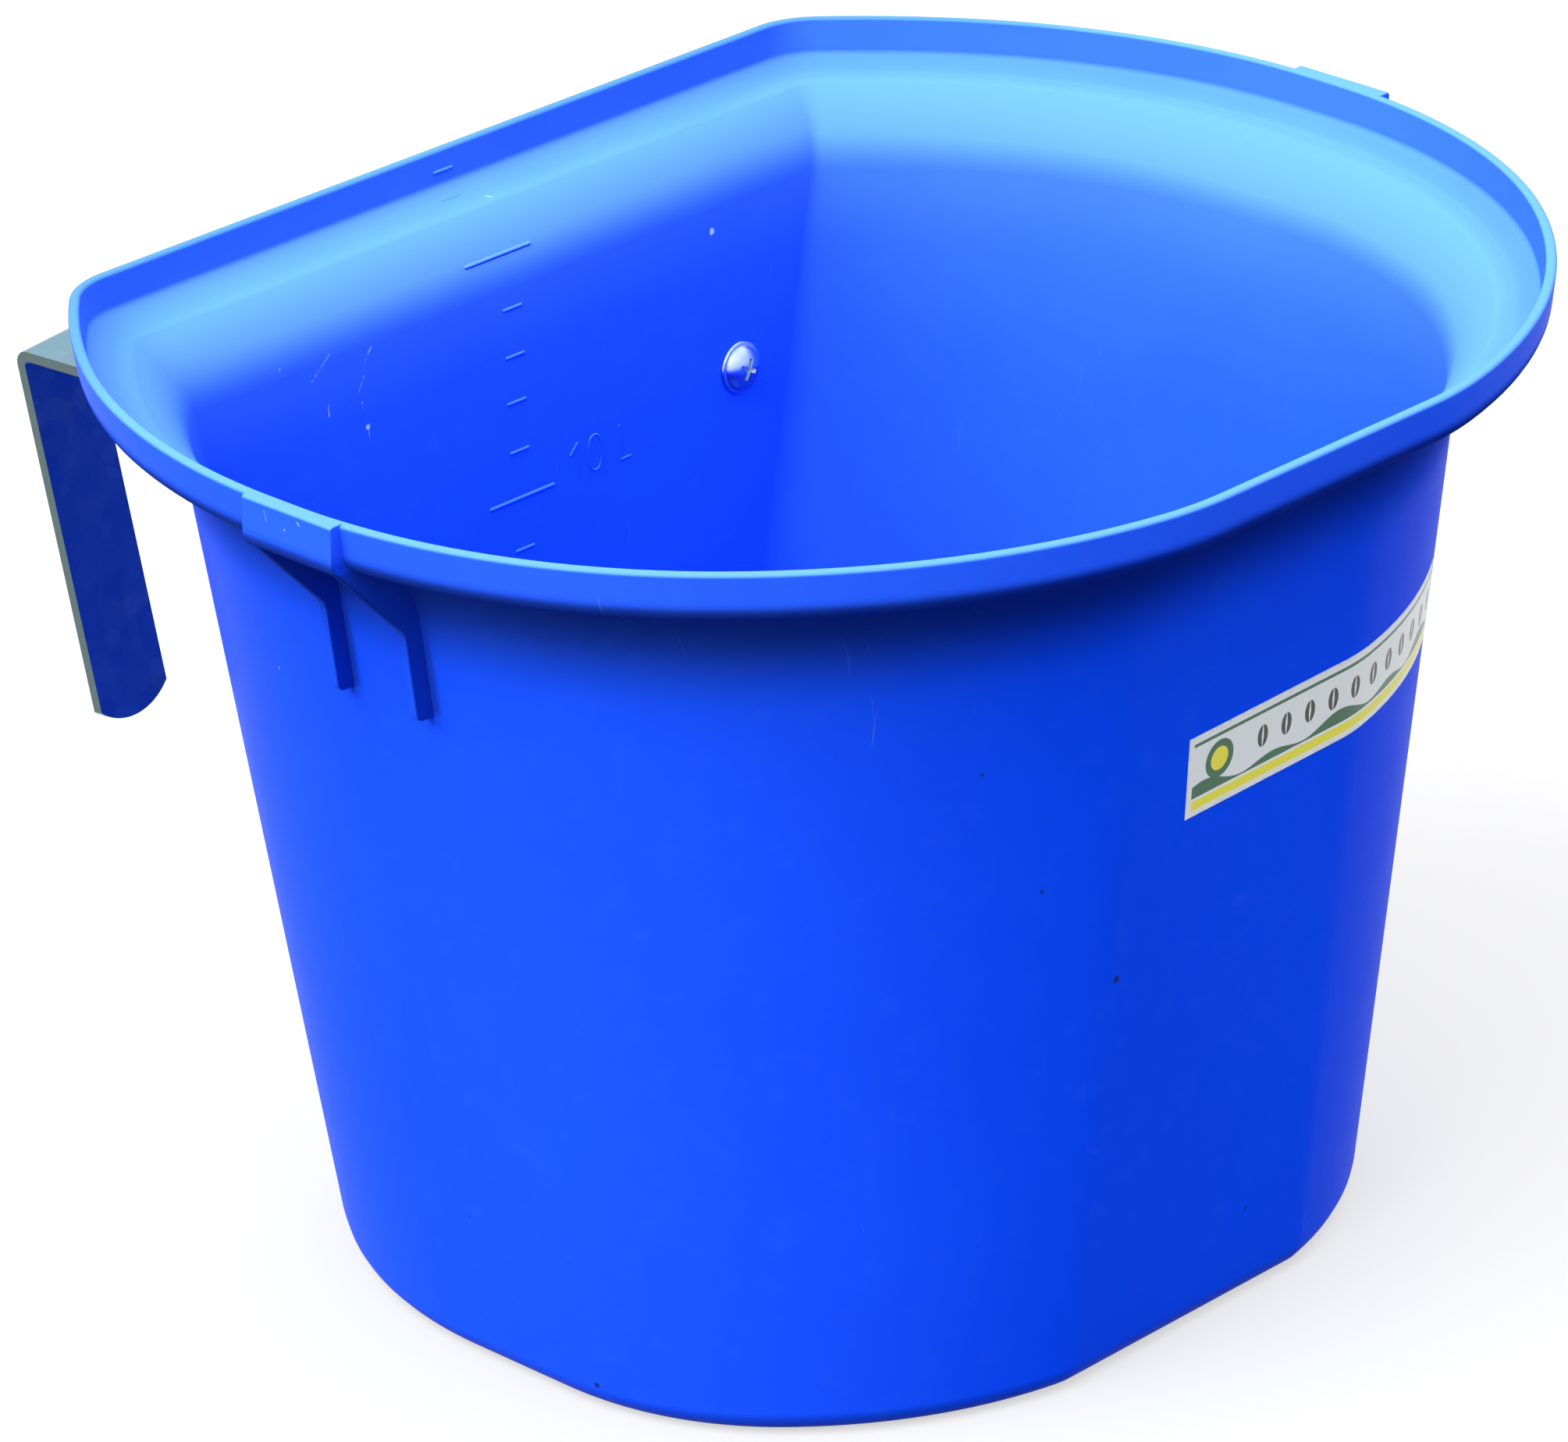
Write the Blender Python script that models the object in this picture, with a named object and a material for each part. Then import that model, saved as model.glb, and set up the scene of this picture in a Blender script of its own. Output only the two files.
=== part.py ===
"""Hanging feed trough for horses and other stock.

A deep moulded trough with a flat back, an upright rim lip and two ribbed ears. It hangs by two hooks
of bent flat bar. Each hook is held to the back wall by one screw and nut, and turns on that screw.

+X is to the right of someone who faces the front, -Y is the front and +Z is up. The origin is the
middle of the base's underside. Lengths are in metres and angles in degrees.
"""

import math

import bmesh
import bpy
from mathutils import Vector

# Trough plan. Half of a plan outline runs from the middle of the back to the middle of the front: a
# back flat, three arcs, a side flat, three more arcs, and a front flat that closes it. An arc turns by
# the same angle at every height, so the walls are straight from the base to the shoulder.
BACK_CORNER_TURN = 44.0
BACK_QUARTER_TURN = 13.0
FRONT_QUARTER_TURN = 43.0
FRONT_CORNER_TURN = 12.0

# Outside of the wall at the base
BASE_BACK_FLAT = 0.0624
BASE_BACK_RADII = (0.0471, 0.1720, 0.1115)
BASE_SIDE_FLAT = 0.0346
BASE_FRONT_RADII = (0.0828, 0.1287, 0.0156)

# Inner edge of the rim at the top
RIM_BACK_FLAT = 0.1284
RIM_BACK_RADII = (0.0204, 0.2125, 0.1714)
RIM_SIDE_FLAT = 0.0086
RIM_FRONT_RADII = (0.1548, 0.1869, 0.1014)
RIM_BACK_SETBACK = 0.0348

# Trough section, from the rim down: lip, sloping land, ledge, wide shoulder curve, wall and base
HEIGHT = 0.2659
WALL = 0.003
FLOOR = 0.0032
RIM_OVERHANG = 0.0191
LIP_FACE = 0.009
LIP_FILLET = 0.0025
LIP_EDGE_ROUND = 0.001
LAND_LENGTH = 0.0054
LAND_SLOPE = 22.0
LEDGE_LENGTH = 0.003
LEDGE_SLOPE = 6.0
LEDGE_FILLET = 0.002
LEDGE_EDGE_ROUND = 0.001
SHOULDER_SLOPE = 38.0
BASE_EDGE_RADIUS = 0.0075
FLOOR_EDGE_RADIUS = 0.0045

# Ears on the lip and the ribs under them
EAR_Y = 0.0047
EAR_WIDTH = 0.0302
EAR_HEIGHT = 0.0132
EAR_PROUD = 0.002
EAR_END_CHAMFER = 0.0007
EAR_LOWER_ROUND = 0.0045
RIB_THICKNESS = 0.0025
RIB_PROUD = 0.0055
RIB_SINK = 0.0002
RIB_END_DROP = 0.0617
RIB_BEND_RADIUS = 0.008
RIB_END_ROUND = 0.0012

# Screws and nuts
SCREW_X = 0.0871
SCREW_DROP = 0.0839
SCREW_RADIUS = 0.003
SCREW_HOLE_CLEARANCE = 0.0003
SCREW_COLLAR_RADIUS = 0.0075
SCREW_COLLAR_THICKNESS = 0.0008
SCREW_DOME_RADIUS = 0.0063
SCREW_DOME_HEIGHT = 0.0028
SCREW_END_PAST_NUT = 0.0025
SCREW_END_CHAMFER = 0.0006
RECESS_ARM = 0.0034
RECESS_SLOT = 0.0012
RECESS_DEPTH = 0.0019
RECESS_TAPER = 0.6
NUT_ACROSS_FLATS = 0.010
NUT_HEIGHT = 0.005
NUT_CHAMFER = 0.0006
NUT_CLEARANCE = 0.0003

# Hooks of flat bar
BAR_WIDTH = 0.025
BAR_THICKNESS = 0.003
BAR_BEND_RADIUS = 0.0015
HOOK_RISE = 0.0448
HOOK_REACH = 0.0851
HOOK_DROP_BELOW_SCREW = 0.020
TONGUE_LENGTH = 0.1135
TONGUE_LEAN = 5.2
HOOK_TURN = 5.3
BAR_END_RISE = 0.0052

# Gap between pieces that touch
SEAT_GAP = 0.0003

# Fineness of curves
PLAN_STEP = 7.0
BEND_STEPS = 3
SHOULDER_STEPS = 6
BASE_STEPS = 3
BAR_END_STEPS = 6
TURNED_STEPS = 24
HEX_STEPS_PER_SIDE = 4

# Colours, roughness and metallic values
FINISHES = {
    "blue_plastic": ((0.016, 0.105, 0.80), 0.36, 0.0),
    "zinc_bar": ((0.42, 0.46, 0.43), 0.42, 1.0),
    "zinc_screw": ((0.75, 0.78, 0.80), 0.22, 1.0),
}


# Plan outlines

def clockwise_path(moves, start):
    """Points from start, heading +X, by moves of (length, 0) straight on or (radius, turn) to the right."""
    points = [Vector(start)]
    heading = 0.0
    for size, turn in moves:
        direction = Vector((math.cos(heading), math.sin(heading)))
        if turn == 0.0:
            points.append(points[-1] + direction * size)
            continue
        centre = points[-1] + Vector((direction.y, -direction.x)) * size
        steps = math.ceil(turn / PLAN_STEP)
        for _ in range(steps):
            heading -= math.radians(turn) / steps
            points.append(centre + Vector((-math.sin(heading), math.cos(heading))) * size)
    return points


def half_outline(back_y, back_flat, back_radii, side_flat, front_radii):
    """Half of a plan outline, from the middle of the back to the middle of the front."""
    back_turns = (BACK_CORNER_TURN, BACK_QUARTER_TURN, 90.0 - BACK_CORNER_TURN - BACK_QUARTER_TURN)
    front_turns = (FRONT_QUARTER_TURN, 90.0 - FRONT_QUARTER_TURN - FRONT_CORNER_TURN, FRONT_CORNER_TURN)
    moves = [(back_flat, 0.0)]
    moves += zip(back_radii, back_turns)
    moves.append((side_flat, 0.0))
    moves += zip(front_radii, front_turns)
    half = clockwise_path(moves, (0.0, back_y))
    half.append(Vector((0.0, half[-1].y)))
    return half


def base_depth():
    """Depth of the base outline from back to front."""
    half = half_outline(0.0, BASE_BACK_FLAT, BASE_BACK_RADII, BASE_SIDE_FLAT, BASE_FRONT_RADII)
    return -half[-1].y


def blend(low, high, share):
    """The value that is a share of the way from low to high."""
    return low + (high - low) * share


def wall_half_outline(z, outset):
    """Half plan outline at height z, as far outside the wall's outer face as outset says."""
    share = z / HEIGHT
    base_back = base_depth() / 2
    rim_back = base_back + RIM_BACK_SETBACK - RIM_OVERHANG

    def radii(base, rim):
        return [blend(low, high - RIM_OVERHANG, share) + outset for low, high in zip(base, rim)]

    return half_outline(
        blend(base_back, rim_back, share) + outset,
        blend(BASE_BACK_FLAT, RIM_BACK_FLAT, share),
        radii(BASE_BACK_RADII, RIM_BACK_RADII),
        blend(BASE_SIDE_FLAT, RIM_SIDE_FLAT, share),
        radii(BASE_FRONT_RADII, RIM_FRONT_RADII),
    )


def wall_ring(z, outset):
    """The whole plan outline at height z as a closed ring of points."""
    half = [(point.x, point.y) for point in wall_half_outline(z, outset)]
    mirrored = [(-x, y) for x, y in reversed(half[1:-1])]
    return [Vector((x, y, z)) for x, y in half + mirrored]


def wall_x(y, z, outset):
    """Distance of the outline from the middle plane at one y, on the right-hand side."""
    half = wall_half_outline(z, outset)
    for back, front in zip(half, half[1:]):
        if front.y < y <= back.y:
            return blend(back.x, front.x, (back.y - y) / (back.y - front.y))
    raise ValueError("the outline doesn't reach that far")


def back_wall_y(z):
    """Place of the back wall's outer face at height z."""
    return wall_half_outline(z, 0.0)[0].y


def screw_z():
    """Height at which a screw's axis leaves the back wall's outer face."""
    return HEIGHT - SCREW_DROP


def back_wall_tilt():
    """Angle, in radians, by which the back wall leans back from upright."""
    return math.atan2(back_wall_y(HEIGHT) - back_wall_y(0.0), HEIGHT)


# Trough section

def sine(angle):
    """Sine of an angle in degrees."""
    return math.sin(math.radians(angle))


def cosine(angle):
    """Cosine of an angle in degrees."""
    return math.cos(math.radians(angle))


def shoulder_stations():
    """Inner face from the rim down to the wall, as (inward, drop, slope) stations.

    A slope of 90 is straight down and 0 is level, towards the middle of the trough. The shoulder
    curve's radius takes what the lip, the land and the ledge leave of the overhang.
    """
    edge_radius = WALL + LEDGE_EDGE_ROUND
    used = (
        LIP_FILLET * (1.0 - sine(LAND_SLOPE))
        + LAND_LENGTH * cosine(LAND_SLOPE)
        + LEDGE_FILLET * (sine(LAND_SLOPE) - sine(LEDGE_SLOPE))
        + LEDGE_LENGTH * cosine(LEDGE_SLOPE)
        + edge_radius * (sine(SHOULDER_SLOPE) - sine(LEDGE_SLOPE))
    )
    shoulder_radius = (RIM_OVERHANG + WALL - used) / (1.0 - sine(SHOULDER_SLOPE))
    moves = (
        (LIP_FACE, 90.0, 0),
        (LIP_FILLET, LAND_SLOPE, BEND_STEPS),
        (LAND_LENGTH, LAND_SLOPE, 0),
        (LEDGE_FILLET, LEDGE_SLOPE, 1),
        (LEDGE_LENGTH, LEDGE_SLOPE, 0),
        (edge_radius, SHOULDER_SLOPE, BEND_STEPS),
        (shoulder_radius, 90.0, SHOULDER_STEPS),
    )
    inward, drop, slope = 0.0, 0.0, 90.0
    stations = [(inward, drop, slope)]
    for size, new_slope, steps in moves:
        if steps == 0:
            inward += size * cosine(slope)
            drop += size * sine(slope)
            stations.append((inward, drop, slope))
            continue
        start = slope
        for step in range(1, steps + 1):
            angle = blend(start, new_slope, step / steps)
            inward += size * abs(sine(angle) - sine(slope))
            drop += size * abs(cosine(angle) - cosine(slope))
            slope = angle
            stations.append((inward, drop, slope))
    return stations


def section_point(station, depth):
    """A station's (z, outset), moved from the inner face towards the outer one by depth."""
    inward, drop, slope = station
    inward -= depth * sine(slope)
    drop += depth * cosine(slope)
    return HEIGHT - drop, RIM_OVERHANG - inward


def rounded_edge(corner_z, corner_outset, radius, vertical, steps):
    """Quarter round from a level face to an upright one, as (z, outset) points.

    vertical is +1 where the upright face goes up from the corner and -1 where it goes down.
    """
    points = []
    for step in range(steps + 1):
        angle = 90.0 * step / steps
        points.append((
            corner_z + vertical * radius * (1.0 - cosine(angle)),
            corner_outset - radius * (1.0 - sine(angle)),
        ))
    return points


def trough_section():
    """The trough's section as (z, outset) points, from the underside over the rim to the floor."""
    stations = shoulder_stations()
    outside = [section_point(station, WALL) for station in stations]
    inside = [section_point(station, 0.0) for station in stations]
    lip_outer = outside[0][1]
    lip_inner = inside[0][1]

    points = rounded_edge(0.0, 0.0, BASE_EDGE_RADIUS, 1.0, BASE_STEPS)
    points += reversed(outside[1:])
    points += reversed(rounded_edge(HEIGHT, lip_outer, LIP_EDGE_ROUND, -1.0, BEND_STEPS - 1))
    inner_round = rounded_edge(HEIGHT, 0.0, LIP_EDGE_ROUND, -1.0, BEND_STEPS - 1)
    points += [(z, lip_inner - outset) for z, outset in inner_round]
    points += inside[1:]
    points += reversed(rounded_edge(FLOOR, -WALL, FLOOR_EDGE_RADIUS, 1.0, BASE_STEPS))
    return points


# Mesh and object helpers

def loft(bm, rings):
    """Skin a closed solid through rings of equally many points and cap both ends."""
    vertex_rings = [[bm.verts.new(point) for point in ring] for ring in rings]
    for lower, upper in zip(vertex_rings, vertex_rings[1:]):
        count = len(lower)
        for i in range(count):
            j = (i + 1) % count
            bm.faces.new((lower[i], lower[j], upper[j], upper[i]))
    bm.faces.new(reversed(vertex_rings[0]))
    bm.faces.new(vertex_rings[-1])
    bmesh.ops.recalc_face_normals(bm, faces=bm.faces)


def mesh_from(bm, name, smooth_angle=30.0):
    """Turn a bmesh into a mesh whose shallow edges are shaded smooth."""
    mesh = bpy.data.meshes.new(name)
    bm.to_mesh(mesh)
    bm.free()
    mesh.shade_smooth()
    mesh.set_sharp_from_angle(angle=math.radians(smooth_angle))
    return mesh


def finish(name):
    """The named finish as a material, made once."""
    material = bpy.data.materials.get(name)
    if material:
        return material
    colour, roughness, metallic = FINISHES[name]
    material = bpy.data.materials.new(name)
    material.use_nodes = True
    shader = material.node_tree.nodes["Principled BSDF"]
    shader.inputs["Base Color"].default_value = (*colour, 1.0)
    shader.inputs["Roughness"].default_value = roughness
    shader.inputs["Metallic"].default_value = metallic
    material.diffuse_color = (*colour, 1.0)
    return material


def place(name, mesh, material=None, parent=None):
    """Add a mesh to the scene as a named object."""
    piece = bpy.data.objects.new(name, mesh)
    bpy.context.collection.objects.link(piece)
    piece.parent = parent
    if material:
        mesh.materials.clear()
        mesh.materials.append(finish(material))
    return piece


def as_tool(piece):
    """Keep an object as a construction tool that isn't part of the model."""
    piece.hide_render = True
    piece.display_type = "WIRE"
    return piece


def combine(piece, operation, tools):
    """Join tools to a piece or cut them from it."""
    for tool in tools:
        change = piece.modifiers.new(f"{operation.lower()}_{tool.name}", "BOOLEAN")
        change.operation = operation
        change.solver = "EXACT"
        change.object = tool


def even_shading(piece):
    """Shade flat and ruled faces true, and keep the turn in the narrow faces of the rounds."""
    normals = piece.modifiers.new("even_shading", "WEIGHTED_NORMAL")
    normals.keep_sharp = True


def turned(bm, profile):
    """Turn a closed (radius, along) profile about the local Y axis."""
    vertices = [bm.verts.new((radius, along, 0.0)) for radius, along in profile]
    edges = [bm.edges.new(pair) for pair in zip(vertices, vertices[1:])]
    bmesh.ops.spin(
        bm, geom=vertices + edges, cent=(0, 0, 0), axis=(0, 1, 0), angle=math.tau,
        steps=TURNED_STEPS, use_merge=True,
    )
    bmesh.ops.remove_doubles(bm, verts=bm.verts, dist=1e-6)
    bmesh.ops.recalc_face_normals(bm, faces=bm.faces)


# Trough

def trough_mesh():
    """The moulded trough without ears, ribs and screw holes."""
    bm = bmesh.new()
    loft(bm, [wall_ring(z, outset) for z, outset in trough_section()])
    return mesh_from(bm, "trough_body")


def ear_face_x():
    """Outer face of an ear."""
    return wall_x(EAR_Y, HEIGHT, RIM_OVERHANG + WALL) + EAR_PROUD


def ear_end_y(side):
    """An ear's end face: side is 1 for the back end and -1 for the front end."""
    return EAR_Y + side * EAR_WIDTH / 2


def wall_middle(y, stations):
    """Middle of the side wall's thickness at one y, as (x, z) points from the rim down."""
    points = [section_point(station, WALL / 2) for station in stations]
    return [Vector((wall_x(y, z, outset), z)) for z, outset in points]


def ear_lower_centre(inset):
    """Centre of the round along an ear's lower edge, as (x, z)."""
    z = HEIGHT - EAR_HEIGHT + EAR_LOWER_ROUND
    return Vector((ear_face_x() - inset - EAR_LOWER_ROUND, z))


def ear_outline(inset):
    """An ear's section as (x, z) points: round its free side, then back up inside the lip's wall."""
    top_centre = Vector((ear_face_x() - inset - LIP_EDGE_ROUND, HEIGHT - LIP_EDGE_ROUND))
    outline = []
    for centre, radius, start in (
        (top_centre, LIP_EDGE_ROUND, 90.0),
        (ear_lower_centre(inset), EAR_LOWER_ROUND, 0.0),
    ):
        for step in range(BEND_STEPS + 1):
            angle = start - 90.0 * step / BEND_STEPS
            outline.append(centre + Vector((cosine(angle), sine(angle))) * radius)
    lip_and_land = [station for station in shoulder_stations() if station[2] >= LAND_SLOPE]
    down_to_land = lip_and_land[:BEND_STEPS + 3]
    outline += reversed(wall_middle(ear_end_y(-1), down_to_land))
    return outline


def ear_mesh():
    """Right-hand ear: a pad on the outside of the lip, flush with the rim's top."""
    rings = []
    for side in (1, -1):
        end = [(ear_end_y(side), EAR_END_CHAMFER), (ear_end_y(side) - side * EAR_END_CHAMFER, 0.0)]
        for y, inset in end[::side]:
            rings.append([Vector((p.x, y, p.y)) for p in ear_outline(inset)])
    bm = bmesh.new()
    loft(bm, rings)
    return mesh_from(bm, "ear")


def fillet(point, before, after, radius):
    """Points of a round between two edges that leave a point in the directions before and after."""
    half_angle = before.angle(after) / 2
    reach = radius / math.tan(half_angle)
    centre = point + (before + after).normalized() * (radius / math.sin(half_angle))
    spokes = [point + before * reach - centre, point + after * reach - centre]
    return [
        centre + spokes[0].lerp(spokes[1], step / BEND_STEPS).normalized() * radius
        for step in range(BEND_STEPS + 1)
    ]


def rib_outline(y):
    """A rib's outline at one y, as (x, z) points: its free edge down, then back up inside the wall."""
    diagonal = Vector((-1.0, -1.0)).normalized()
    start = ear_lower_centre(0.0) + Vector((1.0, -1.0)).normalized() * (EAR_LOWER_ROUND - RIB_SINK)
    end_z = HEIGHT - RIB_END_DROP
    middle_z = HEIGHT - RIB_END_DROP / 2
    foot = Vector((wall_x(y, end_z, RIB_PROUD), end_z))
    along_wall = (Vector((wall_x(y, middle_z, RIB_PROUD), middle_z)) - foot).normalized()
    # The corner is where the diagonal from the ear meets the run that stands proud of the wall.
    across = Vector((-along_wall.y, along_wall.x))
    corner = start + diagonal * ((foot - start).dot(across) / diagonal.dot(across))

    outline = [start]
    outline += fillet(corner, -diagonal, -along_wall, RIB_BEND_RADIUS)
    outline += fillet(foot, along_wall, Vector((-1.0, 0.0)), RIB_END_ROUND)
    outline.append(Vector((wall_x(y, end_z, -WALL / 2), end_z)))
    outline += reversed(wall_middle(y, shoulder_stations()[1:]))
    return outline


def rib_mesh(side):
    """Right-hand rib, a thin gusset flush with one end of the ear: side is 1 back, -1 front."""
    end_y = ear_end_y(side)
    inner_y = end_y - side * RIB_THICKNESS
    outline = rib_outline(inner_y)
    bm = bmesh.new()
    loft(bm, [[Vector((p.x, y, p.y)) for p in outline] for y in (end_y, inner_y)])
    return mesh_from(bm, "rib")


def mirrored(mesh):
    """A copy of a mesh mirrored in the middle plane."""
    bm = bmesh.new()
    bm.from_mesh(mesh)
    bmesh.ops.scale(bm, vec=(-1.0, 1.0, 1.0), verts=bm.verts)
    bmesh.ops.reverse_faces(bm, faces=bm.faces)
    return mesh_from(bm, mesh.name)


def add_trough(hole_cutters):
    """The trough with its ears, ribs and screw holes."""
    trough = place("trough_body", trough_mesh(), "blue_plastic")
    reinforcements = []
    for mesh in [ear_mesh(), rib_mesh(1), rib_mesh(-1)]:
        reinforcements.append(as_tool(place(f"right_{mesh.name}", mesh)))
        reinforcements.append(as_tool(place(f"left_{mesh.name}", mirrored(mesh))))
    combine(trough, "UNION", reinforcements)
    combine(trough, "DIFFERENCE", hole_cutters)
    even_shading(trough)


# Screws and nuts. Local +Y points straight out of the back wall, from its outer face.

def wall_depth():
    """Thickness of the back wall along a screw."""
    return WALL * math.cos(back_wall_tilt())


def nut_seat():
    """Where the nut starts: past the hook's bar and the gaps on both sides of it."""
    return SEAT_GAP + BAR_THICKNESS + SEAT_GAP


def screw_hole_mesh():
    """Cutter for the hole that a screw passes through, in the wall and in the hook."""
    radius = SCREW_RADIUS + SCREW_HOLE_CLEARANCE
    start = -2 * wall_depth()
    end = nut_seat() + NUT_HEIGHT
    bm = bmesh.new()
    turned(bm, [(0.0, start), (radius, start), (radius, end), (0.0, end)])
    return mesh_from(bm, "screw_hole")


def screw_mesh():
    """Screw with a thin collar under a domed head."""
    seat = -wall_depth() - SEAT_GAP
    dome_base = seat - SCREW_COLLAR_THICKNESS
    end = nut_seat() + NUT_HEIGHT + SCREW_END_PAST_NUT
    dome = []
    dome_steps = 6
    for step in range(dome_steps + 1):
        angle = 90.0 * step / dome_steps
        dome.append((SCREW_DOME_RADIUS * sine(angle), dome_base - SCREW_DOME_HEIGHT * cosine(angle)))
    profile = dome + [
        (SCREW_COLLAR_RADIUS, dome_base),
        (SCREW_COLLAR_RADIUS, seat),
        (SCREW_RADIUS, seat),
        (SCREW_RADIUS, end - SCREW_END_CHAMFER),
        (SCREW_RADIUS - SCREW_END_CHAMFER, end),
        (0.0, end),
    ]
    bm = bmesh.new()
    turned(bm, profile)
    return mesh_from(bm, "screw")


def cross_ring(along, arm, half_slot):
    """A plus-shaped ring of points across the screw's axis."""
    ring = []
    for quarter in range(4):
        turn = math.radians(90.0 * quarter)
        for x, z in ((arm, -half_slot), (arm, half_slot), (half_slot, half_slot)):
            ring.append(Vector((
                x * math.cos(turn) - z * math.sin(turn), along,
                x * math.sin(turn) + z * math.cos(turn),
            )))
    return ring


def recess_mesh():
    """Cutter for the cross recess in a screw's head: arms that taper towards the bottom."""
    top = -wall_depth() - SEAT_GAP - SCREW_COLLAR_THICKNESS - SCREW_DOME_HEIGHT
    half_slot = RECESS_SLOT / 2
    bm = bmesh.new()
    loft(bm, [
        cross_ring(top - RECESS_DEPTH, RECESS_ARM * (2.0 - RECESS_TAPER), half_slot),
        cross_ring(top + RECESS_DEPTH, RECESS_ARM * RECESS_TAPER, half_slot),
    ])
    return mesh_from(bm, "recess")


def hex_ring(along, largest_radius):
    """A hexagon's outline across the screw's axis, limited to a circle of the largest radius."""
    apothem = NUT_ACROSS_FLATS / 2
    count = 6 * HEX_STEPS_PER_SIDE
    ring = []
    for i in range(count):
        angle = 360.0 * i / count
        off_flat = (angle + 30.0) % 60.0 - 30.0
        radius = min(apothem / cosine(off_flat), largest_radius)
        ring.append(Vector((radius * cosine(angle), along, radius * sine(angle))))
    return ring


def nut_mesh():
    """Hexagon nut with chamfered corners, before its bore is cut."""
    seat = nut_seat() + SEAT_GAP
    apothem = NUT_ACROSS_FLATS / 2
    corner = apothem / cosine(30.0)
    chamfered = apothem - NUT_CHAMFER / 2
    bm = bmesh.new()
    loft(bm, [
        hex_ring(seat, chamfered),
        hex_ring(seat + NUT_CHAMFER, corner),
        hex_ring(seat + NUT_HEIGHT - NUT_CHAMFER, corner),
        hex_ring(seat + NUT_HEIGHT, chamfered),
    ])
    return mesh_from(bm, "nut")


def nut_bore_mesh():
    """Cutter for the nut's bore."""
    radius = SCREW_RADIUS + NUT_CLEARANCE
    start = nut_seat() - NUT_HEIGHT
    end = nut_seat() + 2 * NUT_HEIGHT
    bm = bmesh.new()
    turned(bm, [(0.0, start), (radius, start), (radius, end), (0.0, end)])
    return mesh_from(bm, "nut_bore")


# Hooks. The bar's outer face starts on the wall side of the back strip, crosses the top and comes down
# the far side of the tongue.

def hook_stations():
    """Places along the bar's outer face, as (along, up, heading, half width).

    heading is 90 where the bar goes up the wall, 0 where it goes straight out of the wall, and below
    -90 down the tongue.
    """
    radius = BAR_BEND_RADIUS + BAR_THICKNESS
    half_width = BAR_WIDTH / 2
    end_radius = (half_width ** 2 + BAR_END_RISE ** 2) / (2 * BAR_END_RISE)
    end_angle = math.degrees(math.asin(half_width / end_radius))
    tongue_heading = -90.0 - TONGUE_LEAN
    tongue_tangent = radius * math.tan(math.radians((90.0 + TONGUE_LEAN) / 2))

    # Distances back from an end of the bar, with the half width there, along the end's arc
    end_arc = []
    for step in range(BAR_END_STEPS + 1):
        angle = end_angle * step / BAR_END_STEPS
        end_arc.append((end_radius * (1.0 - cosine(angle)), end_radius * sine(angle)))

    along, up, heading = SEAT_GAP, -HOOK_DROP_BELOW_SCREW, 90.0
    stations = [(along, up + back, heading, width) for back, width in end_arc]

    def bend(along, up, start, end):
        """Stations round a bend to the right, from one heading to another."""
        centre_along = along + radius * sine(start)
        centre_up = up - radius * cosine(start)
        points = []
        for step in range(BEND_STEPS + 1):
            angle = blend(start, end, step / BEND_STEPS)
            points.append((
                centre_along - radius * sine(angle), centre_up + radius * cosine(angle), angle,
                half_width,
            ))
        return points

    stations += bend(along, HOOK_RISE - radius, 90.0, 0.0)
    stations += bend(HOOK_REACH - tongue_tangent, HOOK_RISE, 0.0, tongue_heading)
    tip_along = HOOK_REACH + TONGUE_LENGTH * cosine(tongue_heading)
    tip_up = HOOK_RISE + TONGUE_LENGTH * sine(tongue_heading)
    for back, width in reversed(end_arc):
        stations.append((
            tip_along - back * cosine(tongue_heading), tip_up - back * sine(tongue_heading),
            tongue_heading, width,
        ))
    return stations


def hook_mesh():
    """Flat bar bent into a hook, with rounded ends."""
    rings = []
    for along, up, heading, half_width in hook_stations():
        inner_along = along + BAR_THICKNESS * sine(heading)
        inner_up = up - BAR_THICKNESS * cosine(heading)
        rings.append([
            Vector((-half_width, along, up)), Vector((half_width, along, up)),
            Vector((half_width, inner_along, inner_up)), Vector((-half_width, inner_along, inner_up)),
        ])
    bm = bmesh.new()
    loft(bm, rings)
    bmesh.ops.remove_doubles(bm, verts=bm.verts, dist=1e-6)
    bmesh.ops.dissolve_degenerate(bm, edges=bm.edges, dist=1e-6)
    return mesh_from(bm, "hook")


def add_hanger(side_name, side, meshes):
    """One side's hook, screw and nut, on an empty at the screw's place; side is -1 left, 1 right."""
    anchor = bpy.data.objects.new(f"{side_name}_screw_place", None)
    bpy.context.collection.objects.link(anchor)
    anchor.location = (side * SCREW_X, back_wall_y(screw_z()), screw_z())
    anchor.rotation_euler = (-back_wall_tilt(), 0.0, 0.0)

    hole = as_tool(place(f"{side_name}_screw_hole", meshes["hole"], parent=anchor))
    bore = as_tool(place(f"{side_name}_nut_bore", meshes["bore"], parent=anchor))
    recess = as_tool(place(f"{side_name}_recess", meshes["recess"], parent=anchor))

    hook = place(f"{side_name}_hook", meshes["hook"], "zinc_bar", anchor)
    hook.rotation_euler = (0.0, side * math.radians(HOOK_TURN), 0.0)
    combine(hook, "DIFFERENCE", [hole])
    screw = place(f"{side_name}_screw", meshes["screw"], "zinc_screw", anchor)
    combine(screw, "DIFFERENCE", [recess])
    nut = place(f"{side_name}_nut", meshes["nut"], "zinc_screw", anchor)
    combine(nut, "DIFFERENCE", [bore])
    return hole


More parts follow.
